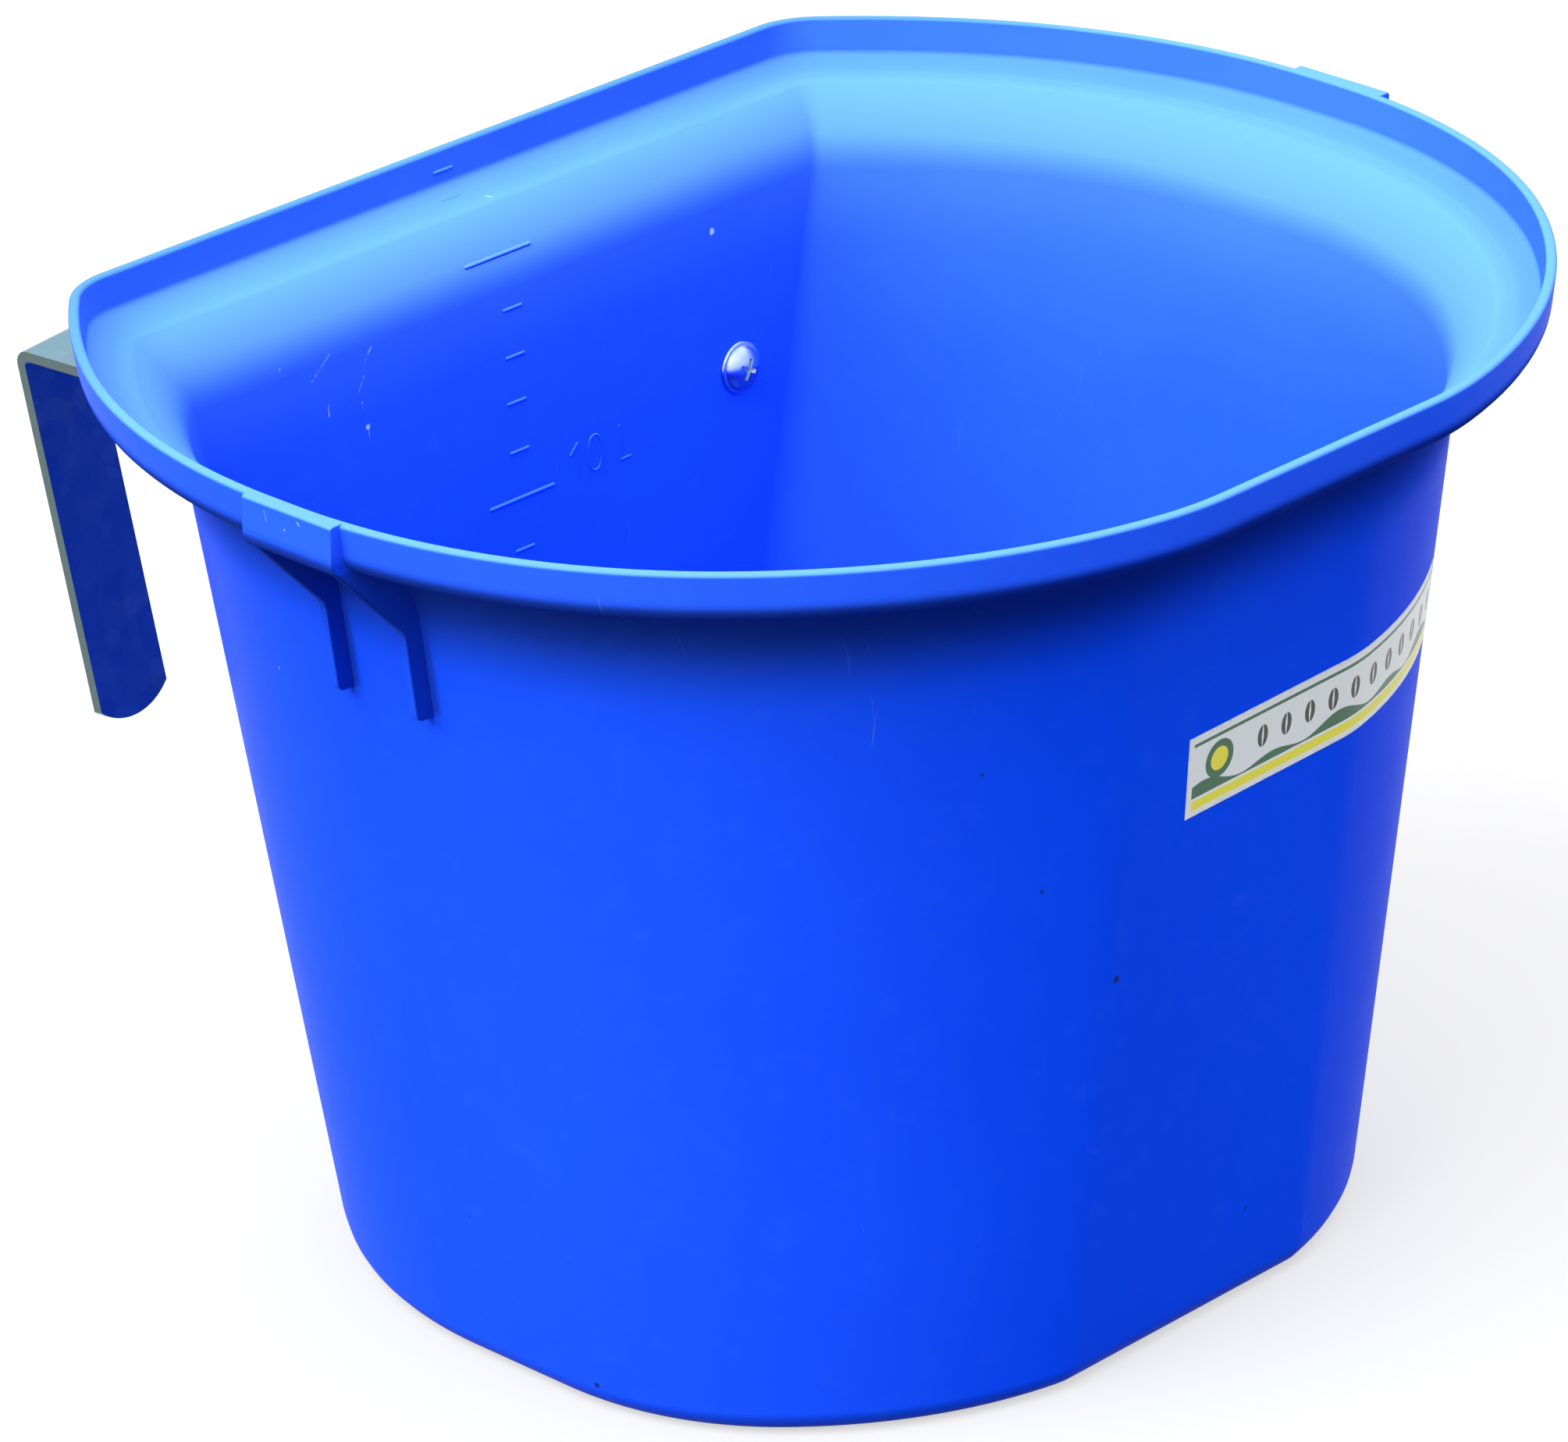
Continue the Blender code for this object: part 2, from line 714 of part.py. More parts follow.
def main():
    """Build the whole trough."""
    for old in list(bpy.data.objects):
        bpy.data.objects.remove(old, do_unlink=True)
    meshes = {
        "hole": screw_hole_mesh(), "bore": nut_bore_mesh(), "recess": recess_mesh(),
        "hook": hook_mesh(), "screw": screw_mesh(), "nut": nut_mesh(),
    }
    holes = [add_hanger("left", -1, meshes), add_hanger("right", 1, meshes)]
    add_trough(holes)


main()
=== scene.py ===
"""Dressed model of the hanging feed trough: moulding, ears, litre scale, label and hangers.

Lengths are in metres and angles in degrees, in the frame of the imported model: +X is to the right of
someone who faces the front, -Y is the front, +Z is up, and the origin is the middle of the underside.
"""

import logging
import math
from contextlib import contextmanager
from dataclasses import dataclass
from enum import Enum
from functools import reduce
from typing import Callable, Iterator

import bmesh
import bpy
from mathutils import Matrix, Vector


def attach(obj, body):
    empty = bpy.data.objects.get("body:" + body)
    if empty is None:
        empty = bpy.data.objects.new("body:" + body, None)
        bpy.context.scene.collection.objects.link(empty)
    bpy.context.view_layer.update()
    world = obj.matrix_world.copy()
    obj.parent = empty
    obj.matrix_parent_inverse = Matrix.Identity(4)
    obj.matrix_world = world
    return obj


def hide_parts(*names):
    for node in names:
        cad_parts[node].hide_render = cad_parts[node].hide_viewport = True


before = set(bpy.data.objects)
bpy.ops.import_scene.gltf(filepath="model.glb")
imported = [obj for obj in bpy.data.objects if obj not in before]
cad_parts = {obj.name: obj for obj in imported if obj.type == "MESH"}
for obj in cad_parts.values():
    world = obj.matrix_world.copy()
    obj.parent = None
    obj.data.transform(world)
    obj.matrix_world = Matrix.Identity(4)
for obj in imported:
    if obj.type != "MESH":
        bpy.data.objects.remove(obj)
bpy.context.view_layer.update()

log = logging.getLogger("feed_trough")

PHOTO_WIDTH = 2009

# Millimetres in a metre, and litres in a cubic metre
MILLIMETRES = 1000.0
LITRES = 1000.0

# A drill goes right through, points this close are at one height, and a face whose normal is this
# much along an axis looks that way
DRILL_LENGTH = 0.02
SAME_HEIGHT = 2e-6
LOOKS_ALONG = 0.9

ORIGIN = Vector((0.0, 0.0, 0.0))
X_AXIS = Vector((1.0, 0.0, 0.0))
Y_AXIS = Vector((0.0, 1.0, 0.0))
Z_AXIS = Vector((0.0, 0.0, 1.0))

Colour = tuple[float, float, float]
Triple = tuple[float, float, float]
Span = tuple[float, float]


def sine(angle: float) -> float:
    """Sine of an angle in degrees."""
    return math.sin(math.radians(angle))


def cosine(angle: float) -> float:
    """Cosine of an angle in degrees."""
    return math.cos(math.radians(angle))


def direction(heading: float) -> Vector:
    """Level direction at an angle in degrees clockwise from +X."""
    return Vector((cosine(heading), -sine(heading), 0.0))


def blend(low: float, high: float, share: float) -> float:
    """The value that is a share of the way from low to high."""
    return low + (high - low) * share


class Side(Enum):
    """A side of the trough, as someone who faces the front sees it."""

    LEFT = -1
    RIGHT = 1

    @property
    def label(self) -> str:
        """The side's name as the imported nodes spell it."""
        return self.name.lower()


# Shader sheets

class Wire:
    """One output of a node. Arithmetic on it adds Math nodes."""

    def __init__(self, sheet: "Sheet", socket: bpy.types.NodeSocket) -> None:
        """Wrap an output socket of a node on a sheet."""
        self.sheet = sheet
        self.socket = socket

    def _math(self, operation: str, first: "Wire | float", second: "Wire | float") -> "Wire":
        """Add one Math node for two values and return its output."""
        return self.sheet.add("ShaderNodeMath", {"operation": operation}, {0: first, 1: second})

    def __add__(self, other: "Wire | float") -> "Wire":
        """Sum."""
        return self._math("ADD", self, other)

    def __radd__(self, other: float) -> "Wire":
        """Sum, with the number first."""
        return self._math("ADD", other, self)

    def __sub__(self, other: "Wire | float") -> "Wire":
        """Difference."""
        return self._math("SUBTRACT", self, other)

    def __rsub__(self, other: float) -> "Wire":
        """Difference, with the number first."""
        return self._math("SUBTRACT", other, self)

    def __mul__(self, other: "Wire | float") -> "Wire":
        """Product."""
        return self._math("MULTIPLY", self, other)

    def __rmul__(self, other: float) -> "Wire":
        """Product, with the number first."""
        return self._math("MULTIPLY", other, self)

    def __truediv__(self, other: "Wire | float") -> "Wire":
        """Quotient."""
        return self._math("DIVIDE", self, other)

    def at_least(self, other: "Wire | float") -> "Wire":
        """The larger of two values."""
        return self._math("MAXIMUM", self, other)

    def at_most(self, other: "Wire | float") -> "Wire":
        """The smaller of two values."""
        return self._math("MINIMUM", self, other)

    def size(self) -> "Wire":
        """The value without its sign."""
        return self._math("ABSOLUTE", self, 0.0)

    def squared(self) -> "Wire":
        """The value times itself."""
        return self * self

    def wave(self) -> "Wire":
        """Sine of the value, in radians."""
        return self._math("SINE", self, 0.0)

    def cycle(self, length: float) -> "Wire":
        """What is left over after whole lengths."""
        return self._math("FLOORED_MODULO", self, length)

    def step(self, low: float, high: float) -> "Wire":
        """A smooth step from 0 at low to 1 at high, or falling where high is the smaller."""
        ends = {1: low, 2: high, 3: 0.0, 4: 1.0} if low < high else {1: high, 2: low, 3: 1.0, 4: 0.0}
        return self.sheet.add("ShaderNodeMapRange", {"interpolation_type": "SMOOTHSTEP"}, {0: self, **ends})

    def between(self, low: float, high: float, soft: float) -> "Wire":
        """1 between two values, with a soft step of a given width inside each."""
        return self.step(low, low + soft) * self.step(high, high - soft)


def strongest(masks: list[Wire]) -> Wire:
    """The largest of several masks."""
    return reduce(Wire.at_least, masks)


@dataclass(frozen=True)
class Spot:
    """Where a point of a surface is, and the way it faces there, part by part."""

    across: Wire
    back: Wire
    height: Wire
    sideways: Wire
    forward: Wire
    up: Wire


class Sheet:
    """The nodes of one material or world."""

    def __init__(self, tree: bpy.types.NodeTree) -> None:
        """Start from an empty tree, which the sheet fills."""
        self.tree = tree
        tree.nodes.clear()

    def add(self, kind: str, settings: dict | None = None, sockets: dict | None = None,
            out: int | str = 0) -> Wire:
        """Add one node.

        Args:
            kind: The node's type.
            settings: The node's own settings, set first.
            sockets: Values or wires by socket name or index.
            out: The output that is wanted.

        Returns:
            The wanted output.
        """
        node = self.tree.nodes.new(kind)
        for key, value in (settings or {}).items():
            setattr(node, key, value)
        for key, value in (sockets or {}).items():
            if isinstance(value, Wire):
                self.tree.links.new(value.socket, node.inputs[key])
            else:
                node.inputs[key].default_value = value
        return Wire(self, node.outputs[out])

    def place(self) -> Wire:
        """The place on the piece, in metres."""
        return self.add("ShaderNodeTexCoord", out="Object")

    def facing(self) -> Wire:
        """The way the surface faces."""
        return self.add("ShaderNodeTexCoord", out="Normal")

    def parts(self, vector: Wire) -> tuple[Wire, Wire, Wire]:
        """The x, y and z of a vector."""
        split = self.add("ShaderNodeSeparateXYZ", sockets={0: vector})
        return tuple(Wire(self, output) for output in split.socket.node.outputs)

    def spot(self) -> Spot:
        """The place and the facing, part by part."""
        return Spot(*self.parts(self.place()), *self.parts(self.facing()))

    def stretched(self, vector: Wire, scale: Triple, angles: Triple = (0.0, 0.0, 0.0)) -> Wire:
        """A vector that is stretched, then turned by angles in degrees."""
        turn = tuple(math.radians(angle) for angle in angles)
        return self.add("ShaderNodeMapping", sockets={"Vector": vector, "Rotation": turn, "Scale": scale})

    def noise(self, vector: Wire, scale: float, detail: float = 2.0, roughness: float = 0.5) -> Wire:
        """Cloudy noise around 0.5."""
        return self.add("ShaderNodeTexNoise", sockets={
            "Vector": vector, "Scale": scale, "Detail": detail, "Roughness": roughness})

    def cells(self, vector: Wire, scale: float, out: str) -> Wire:
        """Voronoi cells: their Distance or their Color."""
        return self.add("ShaderNodeTexVoronoi", sockets={"Vector": vector, "Scale": scale}, out=out)

    def mix(self, share: Wire | float, first: Wire | Colour, second: Wire | Colour) -> Wire:
        """A colour between two others.

        Args:
            share: How far the colour is from the first towards the second, from 0 to 1.
            first: The colour at a share of 0.
            second: The colour at a share of 1.

        Returns:
            The mixed colour.
        """
        settings = {"data_type": "RGBA", "clamp_factor": True}
        paint = [c if isinstance(c, Wire) else (*c, 1.0) for c in (first, second)]
        return self.add("ShaderNodeMix", settings, {0: share, 6: paint[0], 7: paint[1]}, out=2)

    def seen(self) -> Wire:
        """Which rays ask for what is seen.

        Returns:
            1 for a camera, glossy or transmission ray, and 0 for light that falls on things.
        """
        outputs = self.add("ShaderNodeLightPath").socket.node.outputs
        rays = ("Is Camera Ray", "Is Glossy Ray", "Is Transmission Ray")
        return strongest([Wire(self, outputs[ray]) for ray in rays])

    def vector_math(self, operation: str, sockets: dict, out: str = "Value") -> Wire:
        """One Vector Math node."""
        return self.add("ShaderNodeVectorMath", {"operation": operation}, sockets, out)

    def far(self, vector: Wire, point: Triple) -> Wire:
        """Distance from a point."""
        return self.vector_math("DISTANCE", {0: vector, 1: point})

    def beside(self, vector: Wire, start: Triple, end: Triple) -> Wire:
        """Distance from a straight line between two points.

        Args:
            vector: The place that is measured.
            start: One end of the line.
            end: The other end.

        Returns:
            The distance, in metres.
        """
        run = Vector(end) - Vector(start)
        from_start = self.vector_math("SUBTRACT", {0: vector, 1: start}, "Vector")
        along = self.vector_math("DOT_PRODUCT", {0: from_start, 1: tuple(run / run.length_squared)})
        share = along.at_least(0.0).at_most(1.0)
        reach = self.vector_math("SCALE", {0: tuple(run), "Scale": share}, "Vector")
        return self.vector_math("DISTANCE", {0: from_start, 1: reach})

    def relief(self, height: Wire, depth: float, strength: float, under: Wire | None = None) -> Wire:
        """A bumped normal.

        Args:
            height: The relief's height, about 0 to 1.
            depth: What a height of 1 is, in metres.
            strength: How much of the relief shows.
            under: A normal that this relief is added to.

        Returns:
            The normal.
        """
        sockets = {"Height": height, "Distance": depth, "Strength": strength}
        if under is not None:
            sockets["Normal"] = under
        return self.add("ShaderNodeBump", sockets=sockets)

    def surface(self, **sockets: "Wire | float | tuple") -> None:
        """Finish a material with one Principled shader.

        Args:
            sockets: The shader's values, with _ for a space in a socket's name.
        """
        named = {}
        for key, value in sockets.items():
            if isinstance(value, tuple):
                value = (*value, 1.0)
            named[key.replace("_", " ")] = value
        shader = self.add("ShaderNodeBsdfPrincipled", sockets=named)
        self.add_output("ShaderNodeOutputMaterial", shader)

    def add_output(self, kind: str, shader: Wire) -> None:
        """Lead a finished shader to an output node of the given type."""
        output = self.tree.nodes.new(kind)
        self.tree.links.new(shader.socket, output.inputs["Surface"])


def new_material(name: str) -> tuple[bpy.types.Material, Sheet]:
    """Make an empty material and its sheet.

    Args:
        name: The material's name.

    Returns:
        The material and the sheet to fill.
    """
    material = bpy.data.materials.new(name)
    material.use_nodes = True
    return material, Sheet(material.node_tree)


# Finishes

@dataclass(frozen=True)
class MouldedPlastic:
    """Satin blue polypropylene, with painted light where light falls on it from above, painted shade under
    the lip and by the ribs, and marks of use.

    A Span is a pair of places, heights or facings between which a tone comes in, and a share says how
    much of a colour it brings.
    """

    rim_height: float
    rib_fronts: tuple[float, ...]
    colour: Colour = (0.0012, 0.067, 0.98)
    deep_colour: Colour = (0.0010, 0.060, 0.94)
    # Dark blue of the painted shade under the lip and by the ribs
    shaded: Colour = (0.0008, 0.009, 0.17)
    # Pale colour of the painted light on lit faces, also used for the random mottle
    painted_light_and_mottle: Colour = (0.091, 0.270, 0.97)
    dirt: Colour = (0.010, 0.016, 0.020)
    stressed: Colour = (0.45, 0.72, 0.98)
    roughness: float = 0.44
    lip_drop: Span = (0.0115, 0.0075)
    rim_drop: Span = (0.0016, 0.0002)
    crest_foot: Span = (0.233, 0.243)
    crest_top: Span = (0.2530, 0.2495)
    upper_wall: Span = (0.165, 0.240)
    shoulder: Span = (0.208, 0.234)
    land: Span = (0.2515, 0.2535)
    right_side: Span = (0.08, 0.15)
    left_side: Span = (-0.09, -0.15)
    back_side: Span = (0.06, 0.13)
    under_lip: Span = (0.214, 0.240)
    rib_outside: Span = (0.138, 0.146)
    rib_top: Span = (0.2540, 0.2510)
    rib_foot: Span = (0.2030, 0.2055)
    rib_shade_side: Span = (-0.130, -0.140)
    rib_shade_front: Span = (-0.0034, -0.0014)
    rib_shade_back: Span = (0.0006, 0.0002)
    facing_up: Span = (-0.10, 0.70)
    facing_inside: Span = (-0.01, 0.05)
    facing_left: Span = (-0.15, -0.85)
    facing_down: Span = (0.02, -0.04)
    facing_endways: Span = (0.85, 0.97)
    leaning_out: Span = (0.02, -0.02)
    upward_share: float = 0.64
    rim_share: float = 0.18
    lip_share: float = 0.15
    inside_share: float = 0.02
    upper_wall_share: float = 0.08
    crest_share: float = 0.05
    crest_top_share: float = 0.16
    right_wall_share: float = 0.12
    shoulder_share: float = 0.15
    land_share: float = 0.28
    back_rim_share: float = 0.36
    left_wall_share: float = 0.18
    left_face_share: float = 0.085
    drift_share: float = 0.30
    rib_side_share: float = 0.75
    beside_rib_share: float = 0.65
    shaded_share: float = 0.76
    mottle_share: float = 0.04
    rubbed_share: float = 0.06
    scratched_share: float = 0.42
    mark_share: float = 0.85
    grit_share: float = 0.7
    scratch_wander: float = 0.0016
    scratch_edge: Span = (0.00032, 0.00008)
    scratches: tuple[tuple[Triple, Triple], ...] = (
        ((-0.0544, 0.1274, 0.2307), (-0.0571, 0.1272, 0.2271)),
        ((-0.0580, 0.1269, 0.2230), (-0.0605, 0.1267, 0.2185)),
        ((-0.0593, 0.1265, 0.2159), (-0.0589, 0.1263, 0.2132)),
        ((-0.0576, 0.1260, 0.2085), (-0.0571, 0.1258, 0.2039)),
        ((-0.0701, 0.1275, 0.2327), (-0.0771, 0.1272, 0.2271)),
        ((0.0004, 0.1503, 0.2553), (0.0079, 0.1380, 0.2508)),
        ((-0.0717, 0.1267, 0.2186), (-0.0717, 0.1265, 0.2155)),
        ((-0.2057, 0.0129, 0.2637), (-0.2057, 0.0121, 0.2612)),
        ((-0.2057, 0.0075, 0.2613), (-0.2057, 0.0058, 0.2607)),
        ((-0.2057, 0.0014, 0.2641), (-0.2057, 0.0006, 0.2635)),
    )
    specks: tuple[tuple[Triple, float], ...] = (
        ((-0.0415, -0.1261, 0.1215), 0.0011),
        ((-0.0871, -0.1196, 0.1929), 0.0006),
        ((-0.1382, -0.0332, 0.0077), 0.0009),
        ((-0.0682, -0.1236, 0.1550), 0.0006),
        ((0.0217, -0.1188, 0.0283), 0.0006),
    )
    speck_edge: Span = (0.0005, 0.0)
    stress_marks: tuple[tuple[Triple, float], ...] = (
        ((0.0787, 0.1270, 0.2247), 0.0010),
        ((-0.0577, 0.1260, 0.2083), 0.0008),
        ((-0.0884, 0.1276, 0.2338), 0.0003),
        ((-0.0593, 0.1265, 0.2157), 0.0003),
        ((-0.1657, 0.0506, 0.1965), 0.0003),
    )
    stress_edge: Span = (0.0006, -0.0002)
    grit_cells: float = 62.0

    def material(self) -> bpy.types.Material:
        """Make the material.

        Returns:
            The material.
        """
        material, sheet = new_material("moulded_blue_plastic")
        place = sheet.place()
        drift = sheet.noise(place, 11.0, 3.0, 0.55)
        mottle = sheet.noise(place, 140.0, 3.0, 0.6)
        rubbed = self._rubbed(sheet, place)
        scratch = self._scratch(sheet, place)
        painted_shade = self._painted_shade_mask(sheet.spot())

        colour = sheet.mix(drift.step(0.30, 0.70), self.deep_colour, self.colour)
        # Painted shade: darker under the lip, on the ribs' sides and in the ribs' painted shadows
        colour = sheet.mix(painted_shade * self.shaded_share, colour, self.shaded)
        # Painted light: lit faces are mixed towards the pale colour
        colour = sheet.mix(self._painted_light(sheet.spot(), drift), colour, self.painted_light_and_mottle)
        # Random mottle in the same pale colour
        colour = sheet.mix(mottle.step(0.50, 0.85) * self.mottle_share, colour, self.painted_light_and_mottle)
        worn = rubbed * self.rubbed_share + scratch * self.scratched_share
        colour = sheet.mix(worn.at_most(1.0), colour, self.stressed)
        stress = self._round_marks(sheet, place, self.stress_marks, self.stress_edge)
        colour = sheet.mix(stress * self.mark_share, colour, self.stressed)
        speck = self._round_marks(sheet, place, self.specks, self.speck_edge)
        speck = speck.at_least(self._grit(sheet, place))
        colour = sheet.mix(speck * self.mark_share, colour, self.dirt)
        gloss = self.roughness + (drift - 0.5) * 0.10 + (mottle - 0.5) * 0.10 + rubbed * 0.18
        gloss = gloss + scratch * 0.2 + painted_shade * 0.35

        waves = sheet.relief(sheet.noise(place, 17.0, 1.0), 0.004, 0.10)
        skin = sheet.relief(sheet.noise(place, 420.0, 1.0), 0.00016, 0.22, waves)
        skin = sheet.relief(sheet.noise(place, 1700.0, 2.0, 0.6), 0.00004, 0.30, skin)
        skin = sheet.relief(1.0 - scratch.at_least(rubbed * 0.3), 0.00012, 0.4, skin)
        sheet.surface(
            Base_Color=colour, Roughness=gloss, Normal=skin, IOR=1.49, Specular_IOR_Level=0.02)
        return material

    @staticmethod
    def _rubbed(sheet: Sheet, place: Wire) -> Wire:
        """Fine rubbed lines, in two directions and only in patches.

        Args:
            sheet: The material's sheet.
            place: The place on the piece.

        Returns:
            How rubbed each point is.
        """
        along = sheet.stretched(place, (26.0, 950.0, 30.0), (20.0, 8.0, 31.0))
        across = sheet.stretched(place, (820.0, 22.0, 30.0), (-15.0, 40.0, -24.0))
        fine = sheet.noise(along, 1.0, 2.0, 0.6).step(0.68, 0.74)
        crossing = sheet.noise(across, 1.0, 2.0, 0.6).step(0.70, 0.76)
        patches = sheet.noise(place, 23.0, 2.0).step(0.52, 0.70)
        return (fine + crossing).at_most(1.0) * patches

    def _scratch(self, sheet: Sheet, place: Wire) -> Wire:
        """Scratches that are seen one by one, broken here and there.

        Args:
            sheet: The material's sheet.
            place: The place on the piece.

        Returns:
            How scratched each point is.
        """
        wander = (sheet.noise(place, 120.0, 2.0) - 0.5) * self.scratch_wander
        lines = [
            (sheet.beside(place, start, end) + wander).size().step(*self.scratch_edge)
            for start, end in self.scratches
        ]
        return strongest(lines) * sheet.noise(place, 330.0).step(0.38, 0.56)

    @staticmethod
    def _round_marks(sheet: Sheet, place: Wire, marks: tuple[tuple[Triple, float], ...],
                     edge: Span) -> Wire:
        """Ragged round marks that are seen one by one.

        Args:
            sheet: The material's sheet.
            place: The place on the piece.
            marks: Each mark's centre and radius.
            edge: How far outside the radius a mark begins and is full.

        Returns:
            How marked each point is.
        """
        ragged = sheet.noise(place, 900.0, 2.0) * 0.0007
        return strongest([
            (sheet.far(place, centre) + ragged).step(radius + edge[0], radius + edge[1])
            for centre, radius in marks
        ])

    def _grit(self, sheet: Sheet, place: Wire) -> Wire:
        """Small specks of dirt here and there, one in the middle of each odd cell.

        Args:
            sheet: The material's sheet.
            place: The place on the piece.

        Returns:
            How dirty each point is.
        """
        odd_cell = sheet.parts(sheet.cells(place, self.grit_cells, "Color"))[0].step(0.93, 0.95)
        middle = sheet.cells(place, self.grit_cells, "Distance").step(0.034, 0.018)
        return middle * odd_cell * self.grit_share

    def _below_rim(self, spot: Spot, drop: Span) -> Wire:
        """1 above a span of depths below the rim."""
        return spot.height.step(self.rim_height - drop[0], self.rim_height - drop[1])

    def _painted_light(self, spot: Spot, drift: Wire) -> Wire:
        """Share of the painted light: upward faces, the lip, the inside's upper part and outer faces turned
        to the left are painted paler, as if lit.

        Args:
            spot: The place and the facing.
            drift: Slow noise that the tone follows.

        Returns:
            The share.
        """
        upward = spot.up.step(*self.facing_up)
        inner = spot.up.step(*self.facing_inside)
        on_rim = self._below_rim(spot, self.rim_drop)
        on_lip = self._below_rim(spot, self.lip_drop)
        wall = spot.height.step(*self.upper_wall)
        right = spot.across.step(*self.right_side)
        left = spot.across.step(*self.left_side)
        back = spot.back.step(*self.back_side)
        crest = self.crest_share + self.crest_top_share * spot.height.step(*self.crest_top)
        below_lip = spot.height.step(*self.crest_foot) * crest + wall * right * self.right_wall_share
        below_lip = below_lip + spot.height.step(*self.shoulder) * self.shoulder_share
        below_lip = below_lip - spot.height.step(*self.land) * right * self.land_share
        pale = upward * self.upward_share + upward * on_rim * self.rim_share + on_lip * self.lip_share
        pale = pale + inner * (self.inside_share + wall * self.upper_wall_share)
        pale = pale + below_lip * inner * (1.0 - on_lip)
        pale = pale - upward * on_rim * back * self.back_rim_share
        pale = pale * (1.0 - inner * (1.0 - on_rim) * left * self.left_wall_share)
        left_face = spot.sideways.step(*self.facing_left) * spot.up.step(*self.leaning_out)
        pale = pale + left_face * self.left_face_share
        return pale * (1.0 - self.drift_share / 2 + self.drift_share * drift)

    def _painted_shade_mask(self, spot: Spot) -> Wire:
        """Painted shade on faces that hardly any light reaches: under the lip, on the ribs' sides below the
        ears, and a painted shadow beside each rib.

        Args:
            spot: The place and the facing.

        Returns:
            How much painted shade each point takes.
        """
        off_lip = 1.0 - self._below_rim(spot, self.lip_drop)
        endways = spot.forward.size().step(*self.facing_endways)
        rib_sides = endways * spot.across.size().step(*self.rib_outside)
        masks = [
            spot.up.step(*self.facing_down) * spot.height.step(*self.under_lip) * off_lip,
            rib_sides * spot.height.step(*self.rib_top) * self.rib_side_share,
        ]
        beside = spot.across.step(*self.rib_shade_side) * spot.height.step(*self.rib_foot)
        beside = beside * spot.up.step(*self.leaning_out) * off_lip * self.beside_rib_share
        # Painted shadow on the left wall just in front of each rib
        for front in self.rib_fronts:
            from_rib = spot.back - front
            strip = from_rib.step(*self.rib_shade_front) * from_rib.step(*self.rib_shade_back)
            masks.append(strip * beside)
        return strongest(masks)


@dataclass(frozen=True)
class GalvanisedBar:
    """Dull hot-dip zinc on flat bar, with its crystals, drawn lines and small stains, and with painted
    reflections and a painted edge highlight.
    """

    colour: Colour = (0.31, 0.43, 0.46)
    dark: Colour = (0.22, 0.31, 0.34)
    bright: Colour = (0.50, 0.62, 0.64)
    painted_sky_reflection: Colour = (0.17, 0.45, 0.65)
    # Dark blue of the painted reflection of the trough
    inward: Colour = (0.03, 0.24, 0.40)
    painted_edge_highlight: Colour = (0.80, 0.90, 0.88)
    cut_edge: Colour = (0.085, 0.125, 0.125)
    stain: Colour = (0.12, 0.11, 0.09)
    roughness: float = 0.34
    crystal_scale: float = 210.0
    small_scale: float = 560.0
    crystal_share: float = 0.22
    small_share: float = 0.18
    drawn_share: float = 0.24
    cloud_share: float = 0.36
    bright_share: float = 0.14
    painted_blue_reflection_share: float = 0.50
    painted_sky_reflection_share: float = 0.48
    cut_edge_share: float = 0.85
    painted_edge_highlight_share: float = 0.80
    grime_share: float = 0.28
    spot_share: float = 0.5
    facing_inward: Span = (-0.50, -0.90)
    facing_up: Span = (0.60, 0.95)
    facing_sideways: Span = (0.80, 0.97)

    def material(self) -> bpy.types.Material:
        """Make the material.

        Returns:
            The material.
        """
        material, sheet = new_material("galvanised_bar")
        place = sheet.place()
        cloud = sheet.noise(place, 60.0, 2.0)
        crystal = sheet.parts(sheet.cells(place, self.crystal_scale, "Color"))[0]
        small = sheet.parts(sheet.cells(place, self.small_scale, "Color"))[1]
        lines = sheet.noise(sheet.stretched(place, (1300.0, 24.0, 24.0), (0.0, 5.0, 0.0)), 1.0, 2.0)
        grime = sheet.noise(place, 48.0, 4.0, 0.65).step(0.56, 0.74)
        spots = sheet.cells(place, 150.0, "Distance").step(0.16, 0.08) * grime

        tone = crystal * self.crystal_share + small * self.small_share
        tone = tone + lines * self.drawn_share + cloud * self.cloud_share
        colour = sheet.mix(tone, self.dark, self.colour)
        colour = sheet.mix(crystal.step(0.80, 0.98) * self.bright_share, colour, self.bright)
        sideways, forward, up = sheet.parts(sheet.facing())
        sideways = sideways.size()
        # Painted reflection: faces turned towards the trough take its dark blue
        inward = forward.step(*self.facing_inward) * self.painted_blue_reflection_share
        colour = sheet.mix(inward, colour, self.inward)
        # Painted reflection: upward faces take a pale sky blue
        colour = sheet.mix(up.step(*self.facing_up) * self.painted_sky_reflection_share, colour, self.painted_sky_reflection)
        cut_edge = sideways.step(*self.facing_sideways) * self.cut_edge_share
        colour = sheet.mix(cut_edge, colour, self.cut_edge)
        # Painted highlight along the rounded upper edges of the bar
        upper_edge = sideways.step(0.25, 0.50) * sideways.step(0.97, 0.85) * up.step(0.10, 0.35)
        colour = sheet.mix(upper_edge * self.painted_edge_highlight_share, colour, self.painted_edge_highlight)
        colour = sheet.mix(grime * self.grime_share + spots * self.spot_share, colour, self.stain)
        gloss = self.roughness + (crystal - 0.5) * 0.05 + grime * 0.10 + (lines - 0.5) * 0.08
        normal = sheet.relief(lines, 0.00005, 0.35)
        normal = sheet.relief(sheet.cells(place, self.crystal_scale, "Distance"), 0.0001, 0.18, normal)
        normal = sheet.relief(sheet.noise(place, 900.0, 3.0), 0.00005, 0.35, normal)
        sheet.surface(Base_Color=colour, Roughness=gloss, Normal=normal, Metallic=1.0)
        return material


